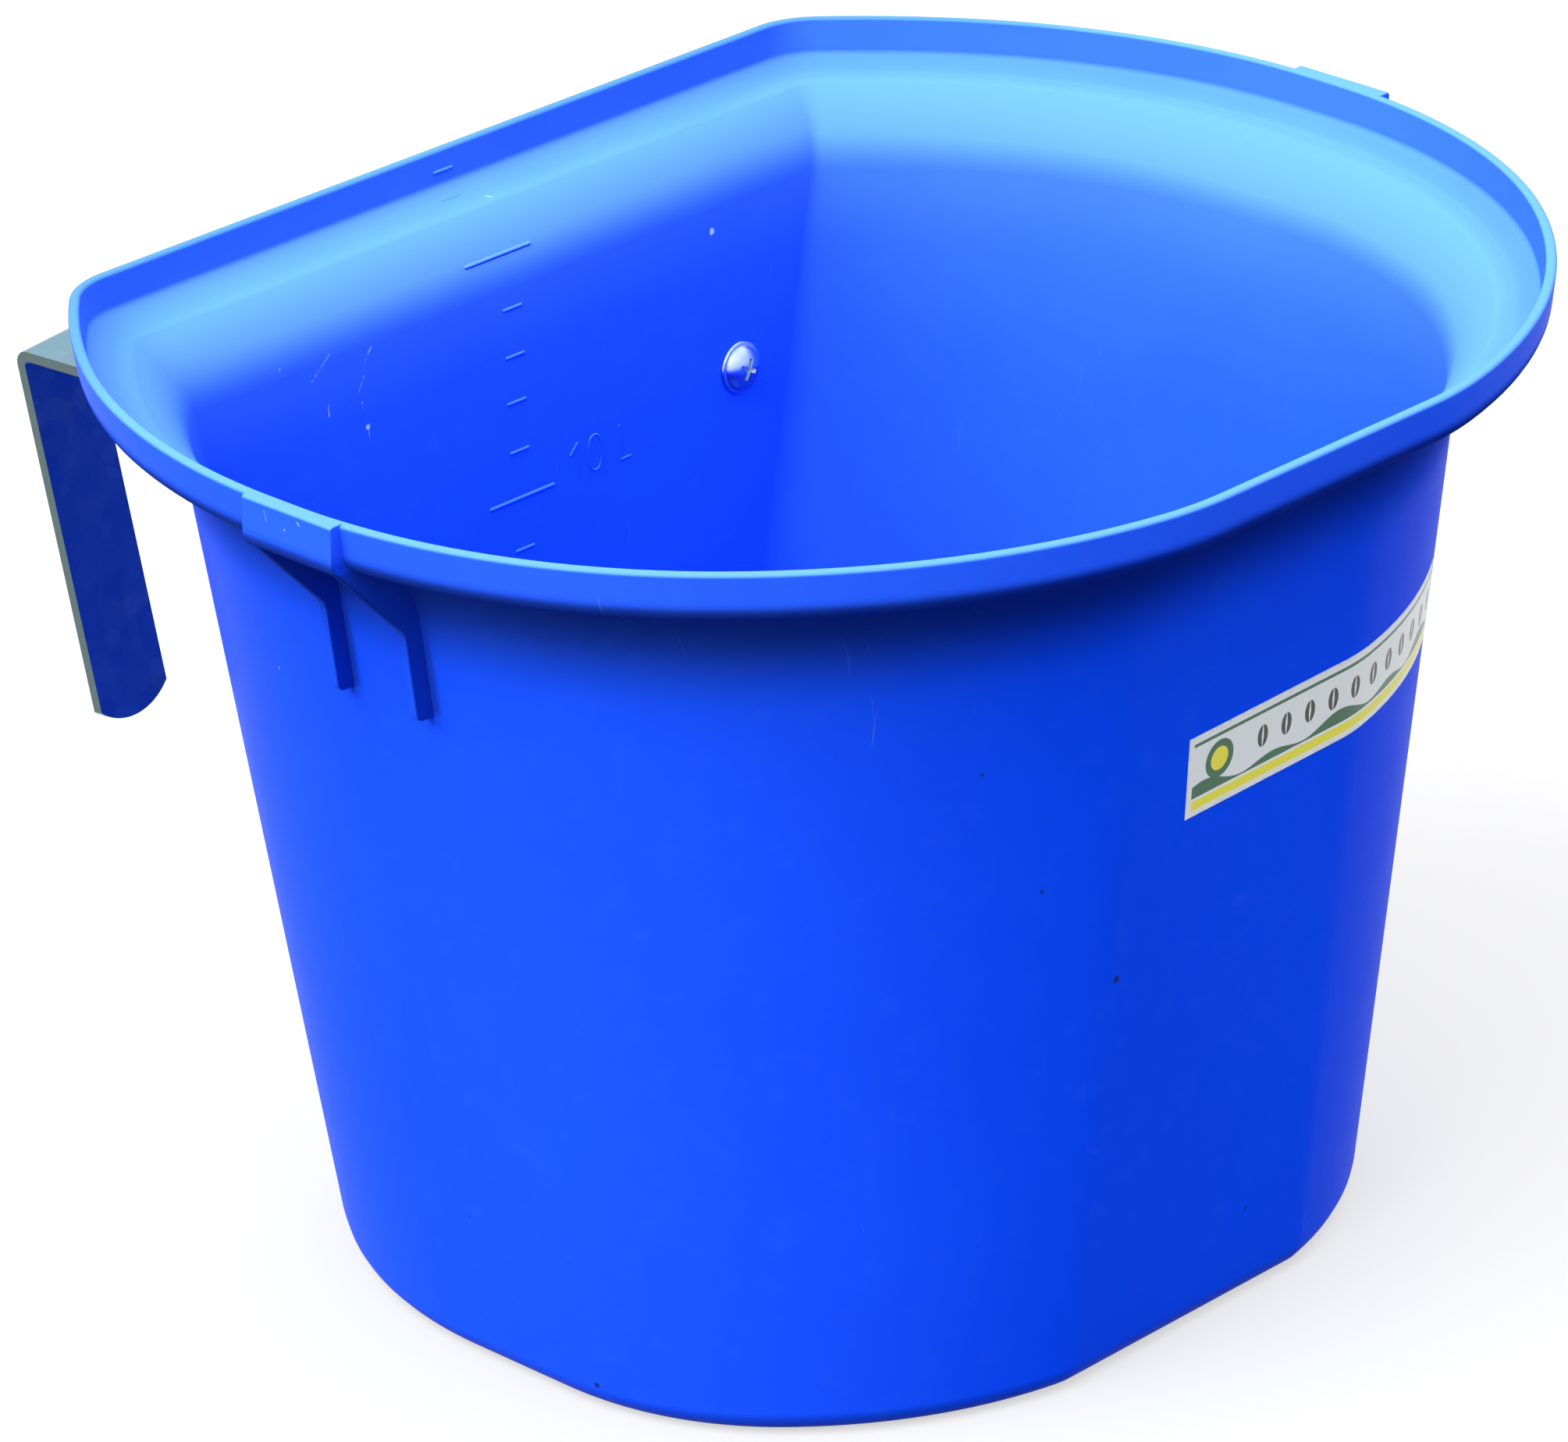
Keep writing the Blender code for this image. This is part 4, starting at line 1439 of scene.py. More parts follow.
@dataclass
class Ears:
    """The two pads on the lip, each with a pair of thin ribs under it."""

    shape: TroughShape
    middle_y: float = 0.0047
    pad_extra: float = 0.0011
    width: float = 0.0302
    height: float = 0.0146
    proud: float = 0.002
    top_round: float = 0.001
    lower_round: float = 0.0045
    edge: float = 0.0008
    rib_thickness: float = 0.0025
    rib_proud: float = 0.0055
    rib_end_drop: float = 0.0630
    rib_bend: float = 0.008
    rib_edge: float = 0.0006
    edge_steps: int = 3
    edge_angle: float = 50.0
    smooth_angle: float = 40.0
    top_steps: int = 4
    lower_steps: int = 8
    bend_steps: int = 8
    foot_steps: int = 5
    rib_sink: float = 0.0002
    foot_round: float = 0.0026

    def build(self, finish: bpy.types.Material) -> list[bpy.types.Object]:
        """Model the right ear, copy it to the left and dress both.

        Args:
            finish: The plastic.

        Returns:
            The two ears.
        """
        right = self._pad()
        for end in (1, -1):
            Bench.carve(right, self._rib(end), "UNION")
        right.name = right.data.name = "right_ear"
        left = Bench.twin(right, "left_ear")
        with Bench.editing(left):
            bpy.ops.mesh.select_all(action="SELECT")
            bpy.ops.transform.resize(value=(-1.0, 1.0, 1.0), center_override=ORIGIN)
            Bench.face_outwards()
        for ear in (right, left):
            Bench.smooth(ear, self.smooth_angle)
            Bench.paint(ear, finish)
            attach(ear, "trough")
        return [right, left]

    def rib_fronts(self) -> tuple[float, float]:
        """Front faces of the back rib and of the front rib."""
        return self._end_y(1) - self.rib_thickness, self._end_y(-1)

    def _end_y(self, end: int) -> float:
        """An ear's end face: end is 1 at the back and -1 at the front."""
        return self.middle_y + end * self.width / 2

    def _face_x(self) -> float:
        """The pad's outer face."""
        lip = self.shape.overhang + self.shape.wall
        return self.shape.half_width(self.middle_y, self.shape.height, lip) + self.proud

    def _lower_centre(self, y: float) -> Vector:
        """Centre of the round along the pad's lower edge."""
        z = self.shape.height - self.height + self.lower_round
        return Vector((self._face_x() - self.lower_round, y, z))

    def _solid(self, name: str, y: float, thickness: float, edge: float,
               draw: Callable[[Pen], None], start: Vector) -> bpy.types.Object:
        """A flat outline, filled, given a thickness towards -Y and softened edges.

        Args:
            name: The piece's name.
            y: The outline's plane; not used.
            thickness: How far it is extruded.
            edge: The width of its softened edges.
            draw: Draws the outline after its first point.
            start: The outline's first point.

        Returns:
            The piece.
        """
        piece = Bench.blank(name)
        with Bench.editing(piece):
            draw(Pen(start))
            bpy.ops.mesh.select_all(action="SELECT")
            bpy.ops.mesh.edge_face_add()
            bpy.ops.mesh.extrude_region_move(TRANSFORM_OT_translate={"value": (0.0, -thickness, 0.0)})
            Bench.face_outwards()
        Bench.soften(piece, edge, self.edge_steps, self.edge_angle)
        return piece

    def _pad(self) -> bpy.types.Object:
        """The pad, flush with the rim's top and let into the middle of the lip's wall.

        Returns:
            The piece.
        """
        y = self._end_y(1) + self.pad_extra
        x = self._face_x()
        height = self.shape.height
        to_land = self.shape.stations()[:2 + self.shape.fillet_steps]
        wall = self.shape.mid_wall(self._end_y(-1), to_land)
        for point in wall:
            point.y = y

        def draw(pen: Pen) -> None:
            """Round the top and lower edges, then back up inside the lip.

            Args:
                pen: The pen, at the outline's start.
            """
            pen.line_to(Vector((x - self.top_round, y, height)))
            top_centre = Vector((x - self.top_round, y, height - self.top_round))
            pen.arc(top_centre, Y_AXIS, 90.0, self.top_steps)
            pen.line_to(self._lower_centre(y) + X_AXIS * self.lower_round)
            pen.arc(self._lower_centre(y), Y_AXIS, 90.0, self.lower_steps)
            for point in reversed(wall[1:]):
                pen.line_to(point)

        return self._solid("ear_pad", y, self.width + self.pad_extra, self.edge, draw, wall[0])

    def _rib(self, end: int) -> bpy.types.Object:
        """One rib, flush with an end of the pad.

        Args:
            end: 1 for the rib at the back and -1 for the one at the front.

        Returns:
            The piece.
        """
        y = self._end_y(end) if end == 1 else self._end_y(end) + self.rib_thickness
        shape = self.shape
        diagonal = Vector((-1.0, 0.0, -1.0)).normalized()
        inside_round = Vector((1.0, 0.0, -1.0)).normalized() * (self.lower_round - self.rib_sink)
        start = self._lower_centre(y) + inside_round
        end_z = shape.height - self.rib_end_drop
        mid_z = shape.height - self.rib_end_drop / 2
        foot = Vector((shape.half_width(y, end_z, self.rib_proud), y, end_z))
        upper = Vector((shape.half_width(y, mid_z, self.rib_proud), y, mid_z))
        up_wall = (upper - foot).normalized()
        across = Vector((up_wall.z, 0.0, -up_wall.x))
        corner = start + diagonal * ((foot - start).dot(across) / diagonal.dot(across))
        turn = math.degrees((-diagonal).angle(up_wall))
        reach = self.rib_bend * math.tan(math.radians(turn / 2))
        wall = shape.mid_wall(y, shape.stations()[1:])

        def draw(pen: Pen) -> None:
            """Down the diagonal, round the bend, down the wall, and back up inside it.

            Args:
                pen: The pen, at the outline's start.
            """
            pen.line_to(corner - diagonal * reach)
            outside = Vector((-diagonal.z, 0.0, diagonal.x))
            pen.arc(pen.place + outside * self.rib_bend, Y_AXIS, -turn, self.bend_steps)
            pen.line_to(foot + up_wall * self.foot_round)
            pen.arc(pen.place - across * self.foot_round, Y_AXIS, 90.0, self.foot_steps)
            pen.line_to(Vector((shape.half_width(y, end_z, -shape.wall / 2), y, end_z)))
            for point in reversed(wall):
                pen.line_to(point)

        return self._solid("rib", y, self.rib_thickness, self.rib_edge, draw, start)


@dataclass
class LitreScale:
    """Raised marks for the litres up the inner back wall, with the figure at ten."""

    shape: TroughShape
    margin: float = 1.04
    middle_x: float = -0.0012
    short_length: float = 0.0076
    long_length: float = 0.0256
    short_radius: float = 0.0006
    long_radius: float = 0.0007
    set_marks: tuple[tuple[int, float, float], ...] = (
        (11, 0.1842, -0.0012), (13, 0.2117, -0.0008), (14, 0.2255, -0.0008), (15, 0.2409, -0.0033),
        (16, 0.2535, -0.0048), (17, 0.2597, -0.0025),
    )
    count: int = 17
    layer: float = 0.001
    long_every: int = 5
    stroke_round: float = 0.7
    stroke_sides: int = 16
    stroke_steps: int = 4
    stroke_angle: float = 60.0
    smooth_angle: float = 50.0
    figure_litres: int = 10
    sink: Span = (0.30, 0.75)
    figure_radius: float = 0.00045
    figure_height: float = 0.0103
    figure_drop: float = 0.0009
    figure_sink: float = 0.35
    one: float = 0.0212
    flag: Triple = (0.0197, 0.0043, 0.0019)
    flag_turn: float = 46.0
    nought: float = 0.0280
    nought_half_width: float = 0.0025
    letter: float = 0.0379
    letter_foot: Span = (0.0401, 0.0048)

    def build(self, finish: bpy.types.Material) -> bpy.types.Object:
        """Model the marks and the figure, join them and dress them.

        Args:
            finish: The plastic.

        Returns:
            The piece.
        """
        heights = self._heights()
        middles = {litres: x for litres, _, x in self.set_marks}
        marks = []
        for litres, (z, outset, slope) in heights.items():
            long_mark = litres % self.long_every == 0
            length = self.long_length if long_mark else self.short_length
            radius = self.long_radius if long_mark else self.short_radius
            mark = self._stroke(radius, length, X_AXIS)
            sunk = Vector((0.0, sine(slope) * self.sink[0], -cosine(slope) * self.sink[1])) * radius
            x = middles.get(litres, self.middle_x)
            mark.location = Vector((x, self.shape.back_y(z, outset), z)) + sunk
            marks.append(Bench.settle(mark))
        marks += self._figure(heights[self.figure_litres][0] - self.figure_drop)
        scale = Bench.join(marks, "litre_scale")
        Bench.smooth(scale, self.smooth_angle)
        Bench.paint(scale, finish)
        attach(scale, "trough")
        return scale

    def _heights(self) -> dict[int, Triple]:
        """Where the marks are on the inner face.

        Returns:
            Each mark's z, outset and slope, by litres.
        """
        path = self.shape.inner_path()[::-1]
        runs = list(zip(path, path[1:]))
        filled = 0.0
        found = {}
        for low, high in runs:
            layers = max(1, math.ceil((high[0] - low[0]) / self.layer))
            for layer in range(layers):
                place = tuple(blend(a, b, (layer + 0.5) / layers) for a, b in zip(low, high))
                filled += self.shape.inside_area(*place[:2]) * (high[0] - low[0]) / layers * LITRES
                litres = len(found) + 1
                if filled >= litres * self.margin and litres <= self.count:
                    found[litres] = place
        for litres, z, _ in self.set_marks:
            low, high = next(run for run in runs if run[0][0] < z <= run[1][0])
            share = (z - low[0]) / (high[0] - low[0])
            found[litres] = tuple(blend(a, b, share) for a, b in zip(low, high))
        return found

    def _figure(self, base: float) -> list[bpy.types.Object]:
        """The figure at ten litres: a one with its flag, a nought and a capital letter for litres.

        Args:
            base: The figure's foot.

        Returns:
            Its strokes.
        """
        tall = self.figure_height
        middle = base + tall / 2
        flag_x, flag_length, flag_drop = self.flag
        foot_x, foot_length = self.letter_foot
        return [
            self._figure_stroke(tall, self.one, middle, 0.0),
            self._figure_stroke(flag_length, flag_x, base + tall - flag_drop, self.flag_turn),
            self._ring(self.nought, middle),
            self._figure_stroke(tall, self.letter, middle, 0.0),
            self._figure_stroke(foot_length, foot_x, base, 90.0),
        ]

    def _stroke(self, radius: float, length: float, axis: Vector) -> bpy.types.Object:
        """A round-ended bar at the origin.

        Args:
            radius: Its radius.
            length: Its length.
            axis: The way it lies.

        Returns:
            The piece.
        """
        stroke = Bench.cylinder("stroke", radius, length, ORIGIN, axis, self.stroke_sides)
        Bench.soften(stroke, radius * self.stroke_round, self.stroke_steps, self.stroke_angle)
        return stroke

    def _on_wall(self, piece: bpy.types.Object, x: float, z: float) -> bpy.types.Object:
        """Put part of the figure on the back wall, a little more than half let into it.

        Args:
            piece: The part.
            x: Its place from the middle plane.
            z: Its height.

        Returns:
            The same part.
        """
        y = self.shape.back_y(z, -self.shape.wall) + self.figure_radius * self.figure_sink
        piece.location = (x, y, z)
        return Bench.settle(piece)

    def _figure_stroke(self, length: float, x: float, z: float, turn: float) -> bpy.types.Object:
        """A straight stroke of the figure.

        Args:
            length: Its length.
            x: Its middle's place from the middle plane.
            z: Its middle's height.
            turn: Its turn from upright.

        Returns:
            The piece.
        """
        stroke = self._stroke(self.figure_radius, length, Z_AXIS)
        stroke.rotation_euler = (math.radians(-self.shape.tilt()), math.radians(turn), 0.0)
        return self._on_wall(stroke, x, z)

    def _ring(self, x: float, z: float) -> bpy.types.Object:
        """The nought: a narrow oval of round stroke.

        Args:
            x: Its middle's place from the middle plane.
            z: Its middle's height.

        Returns:
            The piece.
        """
        ring = Bench.add("nought", bpy.ops.curve.primitive_bezier_circle_add, radius=1.0)
        for point in ring.data.splines[0].bezier_points:
            for handle in ("co", "handle_left", "handle_right"):
                across, up, _ = getattr(point, handle)
                place = (across * self.nought_half_width, up * self.figure_height / 2, 0.0)
                setattr(point, handle, place)
        ring.data.bevel_depth = self.figure_radius
        ring.data.bevel_resolution = 4
        ring.data.resolution_u = 12
        bpy.ops.object.convert(target="MESH")
        ring = bpy.context.object
        ring.rotation_euler = (math.radians(90.0 - self.shape.tilt()), 0.0, 0.0)
        return self._on_wall(ring, x, z)


@dataclass
class WallLabel:
    """Printed vinyl strip stuck round the front right corner of the wall."""

    shape: TroughShape
    left_arc: float = -0.0195
    length: float = 0.130
    bottom: float = 0.1614
    height: float = 0.0235
    turn: float = 1.6
    thickness: float = 0.00012
    gap: float = 0.00003
    rail_outset: float = 0.0002
    left_edges: int = 7
    right_edges: int = 59
    grid: tuple[int, int] = (126, 8)
    smooth_angle: float = 50.0

    def build(self, trough: bpy.types.Object, finish: bpy.types.Material) -> bpy.types.Object:
        """Model the strip, bend it round the corner and lay it on the wall.

        Args:
            trough: The piece that it is stuck on.
            finish: The printed vinyl.

        Returns:
            The piece.
        """
        outline = self.shape.half_points(self.bottom + self.height / 2, self.rail_outset)
        left = [Vector((-p.x, p.y, p.z)) for p in outline[-1 - self.left_edges:]]
        right = outline[::-1][1:1 + self.right_edges]
        to_middle = sum((b - a).length for a, b in zip(left, left[1:]))
        rail = self._rail(left + right)
        along, up = self.grid
        label = Bench.add("wall_label", bpy.ops.mesh.primitive_grid_add, x_subdivisions=along,
                          y_subdivisions=up, size=1.0)
        label.scale = (self.length, self.height, 1.0)
        label.rotation_euler = (math.radians(90.0), math.radians(-self.turn), 0.0)
        label.location = (to_middle + self.left_arc + self.length / 2, 0.0, 0.0)
        Bench.settle(label)
        Bench.modify(label, "CURVE", object=rail, deform_axis="POS_X")
        bpy.data.objects.remove(rail, do_unlink=True)
        Bench.modify(label, "SHRINKWRAP", target=trough, wrap_method="NEAREST_SURFACEPOINT",
                     wrap_mode="OUTSIDE_SURFACE", offset=self.gap + self.thickness)
        Bench.modify(label, "SOLIDIFY", thickness=self.thickness, offset=-1.0)
        Bench.smooth(label, self.smooth_angle)
        Bench.paint(label, finish)
        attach(label, "trough")
        return label

    @staticmethod
    def _rail(points: list[Vector]) -> bpy.types.Object:
        """A curve along the outside of the front.

        Args:
            points: Its points, from the left of the middle to the right side.

        Returns:
            The curve.
        """
        rail = Bench.blank("label_rail")
        with Bench.editing(rail):
            pen = Pen(points[0])
            for point in points[1:]:
                pen.line_to(point)
        Bench.pick(rail)
        bpy.ops.object.convert(target="CURVE")
        return bpy.context.object


# Hangers

class BarTip:
    """The end of a flat bar that is being drawn out in edit mode."""

    def __init__(self, middle: Vector, width: float, thickness: float) -> None:
        """Start a bar upwards from a level cut.

        Args:
            middle: The middle of the cut.
            width: The bar's width there.
            thickness: The bar's thickness.
        """
        self.middle = Vector(middle)
        self.heading = Z_AXIS.copy()
        bpy.ops.mesh.primitive_plane_add(size=1.0, location=middle)
        bpy.ops.transform.resize(value=(width, thickness, 1.0), center_override=middle)

    def push(self, length: float) -> None:
        """Extrude the end straight on."""
        bpy.ops.mesh.extrude_region_move(TRANSFORM_OT_translate={"value": self.heading * length})
        self.middle = self.middle + self.heading * length

    def taper(self, ends: list[Span]) -> None:
        """Extrude the end through a rounded end's cuts.

        Args:
            ends: Each cut's place along the bar and its half width.
        """
        for (place, width), (next_place, next_width) in zip(ends, ends[1:]):
            self.push(abs(next_place - place))
            share = (next_width / width, 1.0, 1.0)
            bpy.ops.transform.resize(value=share, center_override=self.middle)

    def bend(self, radius: float, angle: float, steps: int) -> None:
        """Spin the end round a bend away from the wall.

        Args:
            radius: The radius to the middle of the bar.
            angle: The bend's turn.
            steps: How many faces it has.
        """
        inwards = Matrix.Rotation(math.radians(-90.0), 3, "X") @ self.heading
        centre = self.middle + inwards * radius
        bpy.ops.mesh.spin(steps=steps, angle=math.radians(angle), center=centre, axis=X_AXIS)
        turn = Matrix.Rotation(math.radians(-angle), 3, "X")
        self.middle = centre + turn @ (self.middle - centre)
        self.heading = turn @ self.heading


@dataclass
class Hanger:
    """One hook with its screw and nut. They are modelled at the screw, +Y out of the wall."""

    shape: TroughShape
    gap: float = 0.0003
    bar_width: float = 0.025
    bar_thickness: float = 0.003
    inner_bend: float = 0.0015
    rise: float = 0.0448
    reach: float = 0.0851
    drop: float = 0.020
    tongue: float = 0.1135
    lean: float = 5.2
    turn: float = 5.3
    end_rise: float = 0.0052
    end_steps: int = 12
    end_least: float = 0.00001
    bend_steps: int = 10
    bar_edge: float = 0.00035
    bar_merge: float = 0.00003
    bar_edge_steps: int = 3
    bar_edge_angle: float = 55.0
    hook_smooth_angle: float = 40.0
    screw_smooth_angle: float = 32.0
    nut_smooth_angle: float = 25.0
    screw_sides: int = 64
    nut_blank_sides: int = 96
    screw_radius: float = 0.003
    collar_radius: float = 0.0075
    collar_thickness: float = 0.0008
    dome_radius: float = 0.0063
    dome_height: float = 0.0028
    dome_steps: int = 12
    dome_foot: float = 0.0002
    collar_crown: float = 0.0001
    collar_round: float = 0.0003
    collar_corner: float = 0.00009
    past_nut: float = 0.0025
    nut_flats: float = 0.010
    nut_height: float = 0.005
    nut_bore: float = 0.0033
    nut_chamfer: float = 0.0009
    chamfer_height: float = 0.0005
    chamfer_past: float = 0.00001
    corner_clearance: float = 0.0001
    thread_count: int = 8
    thread_pitch: float = 0.001
    thread_depth: float = 0.0004
    thread_form: Triple = (0.40, 0.50, 0.90)
    point_length: float = 0.0005
    point_taper: float = 0.0004
    turning_merge: float = 0.000005
    recess_length: float = 0.00952
    recess_slot: float = 0.0015
    recess_depth: float = 0.0042
    recess_taper: Span = (0.65, 0.42)
    recess_turn: float = 25.0

    def build(self, bar: bpy.types.Material, zinc: bpy.types.Material) -> list[bpy.types.Object]:
        """Model one hook, screw and nut, copy them to both sides and dress them.

        Args:
            bar: The hooks' finish.
            zinc: The screws' and nuts' finish.

        Returns:
            The six pieces.
        """
        models = {"hook": self._hook(), "screw": self._screw(), "nut": self._nut()}
        finishes = {"hook": bar, "screw": zinc, "nut": zinc}
        pieces = []
        for side in Side:
            for kind, model in models.items():
                piece = Bench.twin(model, f"{side.label}_{kind}_piece")
                turn = side.value * self.turn if kind == "hook" else 0.0
                piece.matrix_world = self.shape.at_screw(side) @ Matrix.Rotation(math.radians(turn), 4, "Y")
                Bench.settle(piece)
                Bench.paint(piece, finishes[kind])
                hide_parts(f"{side.label}_{kind}")
                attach(piece, f"{side.label}_hook" if kind == "hook" else "trough")
                pieces.append(piece)
        for model in models.values():
            bpy.data.objects.remove(model, do_unlink=True)
        return pieces

    def _wall_depth(self) -> float:
        """Thickness of the back wall along the screw."""
        return self.shape.wall * cosine(self.shape.tilt())

    def _nut_seat(self) -> float:
        """Where the nut starts."""
        return self.gap + self.bar_thickness + self.gap

    def _hook(self) -> bpy.types.Object:
        """Flat bar bent twice, with rounded ends and a screw hole.

        Returns:
            The hook.
        """
        outer = self.inner_bend + self.bar_thickness
        bend = self.inner_bend + self.bar_thickness / 2
        tangent = outer * math.tan(math.radians((90.0 + self.lean) / 2))
        half = self.bar_width / 2
        end_radius = (half ** 2 + self.end_rise ** 2) / (2 * self.end_rise)
        end_angle = math.degrees(math.asin(half / end_radius))
        ends = []
        for step in range(self.end_steps + 1):
            angle = end_angle * step / self.end_steps
            ends.append((
                end_radius * (1.0 - cosine(angle)), max(end_radius * sine(angle), self.end_least)))
        hook = Bench.blank("hook")
        with Bench.editing(hook):
            start = Vector((0.0, self.gap + self.bar_thickness / 2, -self.drop))
            bar = BarTip(start, 2 * ends[0][1], self.bar_thickness)
            bar.taper(ends)
            bar.push(self.rise - outer - bar.middle.z)
            bar.bend(bend, 90.0, self.bend_steps)
            bar.push(self.reach - tangent - bar.middle.y)
            bar.bend(bend, 90.0 + self.lean, self.bend_steps)
            bar.push(self.tongue - tangent - self.end_rise)
            bar.taper(ends[::-1])
            Bench.face_outwards(self.bar_merge)
        Bench.soften(hook, self.bar_edge, self.bar_edge_steps, self.bar_edge_angle)
        Bench.carve(hook, Bench.cylinder(
            "hook_hole", self.shape.screw_hole_radius, DRILL_LENGTH, ORIGIN, Y_AXIS))
        Bench.smooth(hook, self.hook_smooth_angle)
        return hook

    def _turned(self, name: str, profile: list[Span], steps: int) -> bpy.types.Object:
        """Turn a profile about Y.

        Args:
            name: The piece's name.
            profile: Its points as (radius, along), from the axis back to the axis.
            steps: How many faces it has round it.

        Returns:
            The piece.
        """
        piece = Bench.blank(name)
        with Bench.editing(piece):
            pen = Pen(Vector((*profile[0], 0.0)))
            for point in profile[1:]:
                pen.line_to(Vector((*point, 0.0)))
            bpy.ops.mesh.select_all(action="SELECT")
            bpy.ops.mesh.spin(steps=steps, angle=math.tau, center=ORIGIN, axis=Y_AXIS)
            Bench.face_outwards(self.turning_merge)
        return piece

    def _screw(self) -> bpy.types.Object:
        """Screw with a collar, a domed head with a cross recess, and a thread at its end.

        Returns:
            The screw.
        """
        seat = -self._wall_depth() - self.gap
        base = seat - self.collar_thickness
        end = self._nut_seat() + self.nut_height + self.past_nut
        profile = []
        for step in range(self.dome_steps + 1):
            angle = 90.0 * step / self.dome_steps
            profile.append((self.dome_radius * sine(angle), base - self.dome_height * cosine(angle)))
        crown = base + self.collar_crown
        root = self.screw_radius - self.thread_depth
        profile += [
            (self.dome_radius + self.dome_foot, crown), (self.collar_radius - self.collar_round, crown),
            (self.collar_radius - self.collar_corner, crown + self.collar_corner),
            (self.collar_radius, crown + self.collar_round),
            (self.collar_radius, seat), (self.screw_radius, seat),
        ]
        along = end - (self.thread_count + 1) * self.thread_pitch
        profile.append((self.screw_radius, along))
        root_from, root_to, crest = (share * self.thread_pitch for share in self.thread_form)
        for _ in range(self.thread_count):
            profile += [
                (root, along + root_from), (root, along + root_to), (self.screw_radius, along + crest),
                (self.screw_radius, along + self.thread_pitch),
            ]
            along += self.thread_pitch
        profile += [(root, end - self.point_length), (root - self.point_taper, end), (0.0, end)]
        screw = self._turned("screw", profile, self.screw_sides)
        Bench.carve(screw, self._recess(base - self.dome_height))
        Bench.smooth(screw, self.screw_smooth_angle)
        return screw

    def _recess(self, top: float) -> bpy.types.Object:
        """Cutter for the cross recess: two crossed wedges that taper inwards.

        Args:
            top: Where the dome's top is, along the screw.

        Returns:
            The cutter.
        """
        blade = Bench.add("recess", bpy.ops.mesh.primitive_cube_add, size=1.0, location=(0.0, top, 0.0))
        blade.scale = (self.recess_slot, self.recess_depth, self.recess_length)
        Bench.settle(blade)
        with Bench.editing(blade, "FACE"):
            Bench.select(blade, "faces", lambda face: face.normal.y > LOOKS_ALONG)
            bpy.ops.transform.resize(value=(self.recess_taper[0], 1.0, self.recess_taper[1]))
        crossing = Bench.twin(blade, "recess_crossing")
        crossing.rotation_euler.y = math.radians(90.0)
        Bench.carve(blade, Bench.settle(crossing), "UNION")
        blade.rotation_euler.y = math.radians(self.recess_turn)
        return Bench.settle(blade)

    def _nut(self) -> bpy.types.Object:
        """Hexagon nut with chamfered corners and a bore.

        Returns:
            The nut.
        """
        seat = self._nut_seat() + self.gap
        middle = Vector((0.0, seat + self.nut_height / 2, 0.0))
        corner = self.nut_flats / math.sqrt(3.0)
        nut = Bench.cylinder("nut", corner, self.nut_height, middle, Y_AXIS, 6)
        blank = Bench.cylinder(
            "nut_blank", corner + self.corner_clearance, self.nut_height - 2 * self.chamfer_height,
            middle, Y_AXIS, self.nut_blank_sides)
        share = 1.0 - self.nut_chamfer / corner
        with Bench.editing(blank, "FACE"):
            for way in (1, -1):
                Bench.select(blank, "faces", lambda face: face.normal.y * way > LOOKS_ALONG)
                step = Vector((0.0, way * (self.chamfer_height + self.chamfer_past), 0.0))
                bpy.ops.mesh.extrude_region_move(TRANSFORM_OT_translate={"value": step})
                bpy.ops.transform.resize(value=(share, 1.0, share), center_override=middle + step)
        Bench.carve(nut, blank, "INTERSECT")
        Bench.carve(nut, Bench.cylinder("nut_bore", self.nut_bore, 4 * self.nut_height, middle, Y_AXIS))
        Bench.smooth(nut, self.nut_smooth_angle)
        return nut


# Studio

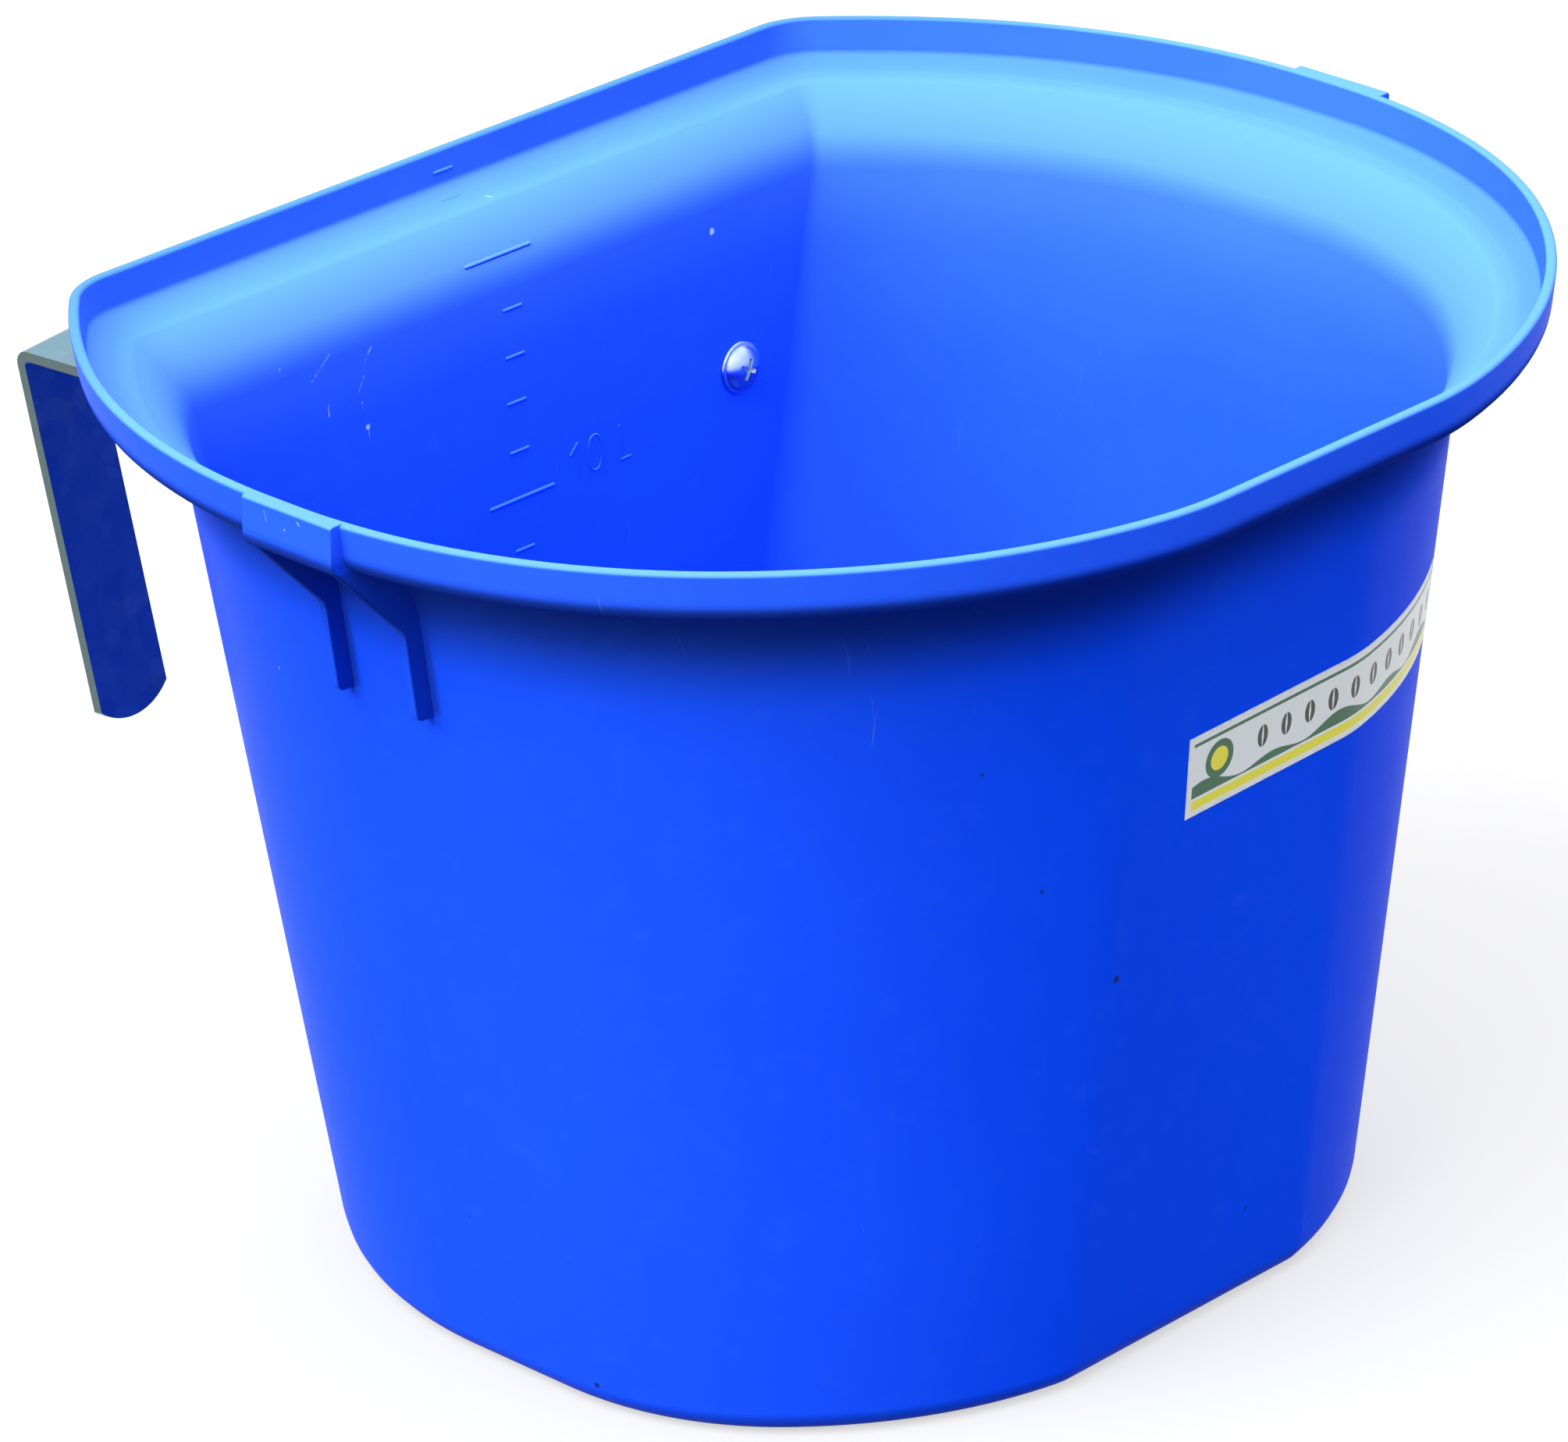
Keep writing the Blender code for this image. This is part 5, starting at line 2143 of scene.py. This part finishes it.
@dataclass
class Studio:
    """White floor, soft daylight from above and the camera."""

    floor_size: float = 24.0
    focal_pixels: float = 11461.1
    sensor_width: float = 36.0
    view_depth: float = 60.0
    azimuth: float = -47.438
    elevation: float = 24.649
    target: Triple = (0.0778, 0.0990, 0.0841)
    distance: float = 2.5253
    horizon: float = 0.095
    zenith: float = 2.12
    sky_rise: Span = (-0.05, 0.80)
    sun: float = 3.5
    sun_softness: float = 50.0
    sun_from: Triple = (-0.70, 0.12, 0.70)

    def build(self, floor_finish: bpy.types.Material) -> None:
        """Set the floor, the light and the camera.

        Args:
            floor_finish: The floor's paint.
        """
        floor = Bench.add("studio_floor", bpy.ops.mesh.primitive_plane_add, size=self.floor_size)
        Bench.paint(floor, floor_finish)
        self._light()
        self._camera()

    def _light(self) -> None:
        """A sky that is brightest overhead and one large soft lamp from the upper left."""
        scene = bpy.context.scene
        scene.view_settings.view_transform = "Standard"
        scene.world = bpy.data.worlds.new("studio_sky")
        scene.world.use_nodes = True
        sheet = Sheet(scene.world.node_tree)
        seen = sheet.seen()
        _, _, up = sheet.parts(sheet.add("ShaderNodeTexCoord", out="Generated"))
        light = self.horizon + up.step(*self.sky_rise) * self.zenith
        strength = light * (1.0 - seen) + seen
        white = (1.0, 1.0, 1.0, 1.0)
        sky = sheet.add("ShaderNodeBackground", sockets={"Color": white, "Strength": strength})
        sheet.add_output("ShaderNodeOutputWorld", sky)

        lamp = bpy.data.lights.new("overhead", "SUN")
        lamp.energy = self.sun
        lamp.angle = math.radians(self.sun_softness)
        overhead = bpy.data.objects.new("overhead", lamp)
        scene.collection.objects.link(overhead)
        overhead.rotation_euler = Vector(self.sun_from).to_track_quat("Z", "Y").to_euler()

    def _camera(self) -> None:
        """The camera at the photograph's place."""
        lens = bpy.data.cameras.new("camera")
        lens.sensor_fit = "HORIZONTAL"
        lens.sensor_width = self.sensor_width
        lens.lens = self.focal_pixels * self.sensor_width / PHOTO_WIDTH
        lens.clip_end = self.view_depth
        camera = bpy.data.objects.new("camera", lens)
        bpy.context.scene.collection.objects.link(camera)
        back = Vector((
            sine(self.azimuth) * cosine(self.elevation), -cosine(self.azimuth) * cosine(self.elevation),
            sine(self.elevation),
        ))
        camera.location = Vector(self.target) + back * self.distance
        camera.rotation_euler = back.to_track_quat("Z", "Y").to_euler()
        bpy.context.scene.camera = camera


def report(pieces: list[bpy.types.Object]) -> None:
    """Log each piece's name and triangle count.

    Args:
        pieces: The finished pieces.
    """
    for piece in pieces:
        piece.data.calc_loop_triangles()
        log.info("%s: %d triangles", piece.name, len(piece.data.loop_triangles))


def main() -> None:
    """Build and dress the whole model in order."""
    logging.basicConfig(level=logging.INFO, format="%(name)s %(message)s")
    shape = TroughShape()
    ears = Ears(shape)
    plastic = MouldedPlastic(shape.height, ears.rib_fronts()).material()
    trough = Moulding(shape).build(plastic)
    report([trough])
    report(ears.build(plastic))
    report([LitreScale(shape).build(plastic)])
    label = WallLabel(shape)
    report([label.build(trough, PrintedVinyl(label.length, label.height).material())])
    report(Hanger(shape).build(GalvanisedBar().material(), BrightZinc().material()))
    Studio().build(StudioFloor().material())


if __name__ == "__main__":
    main()
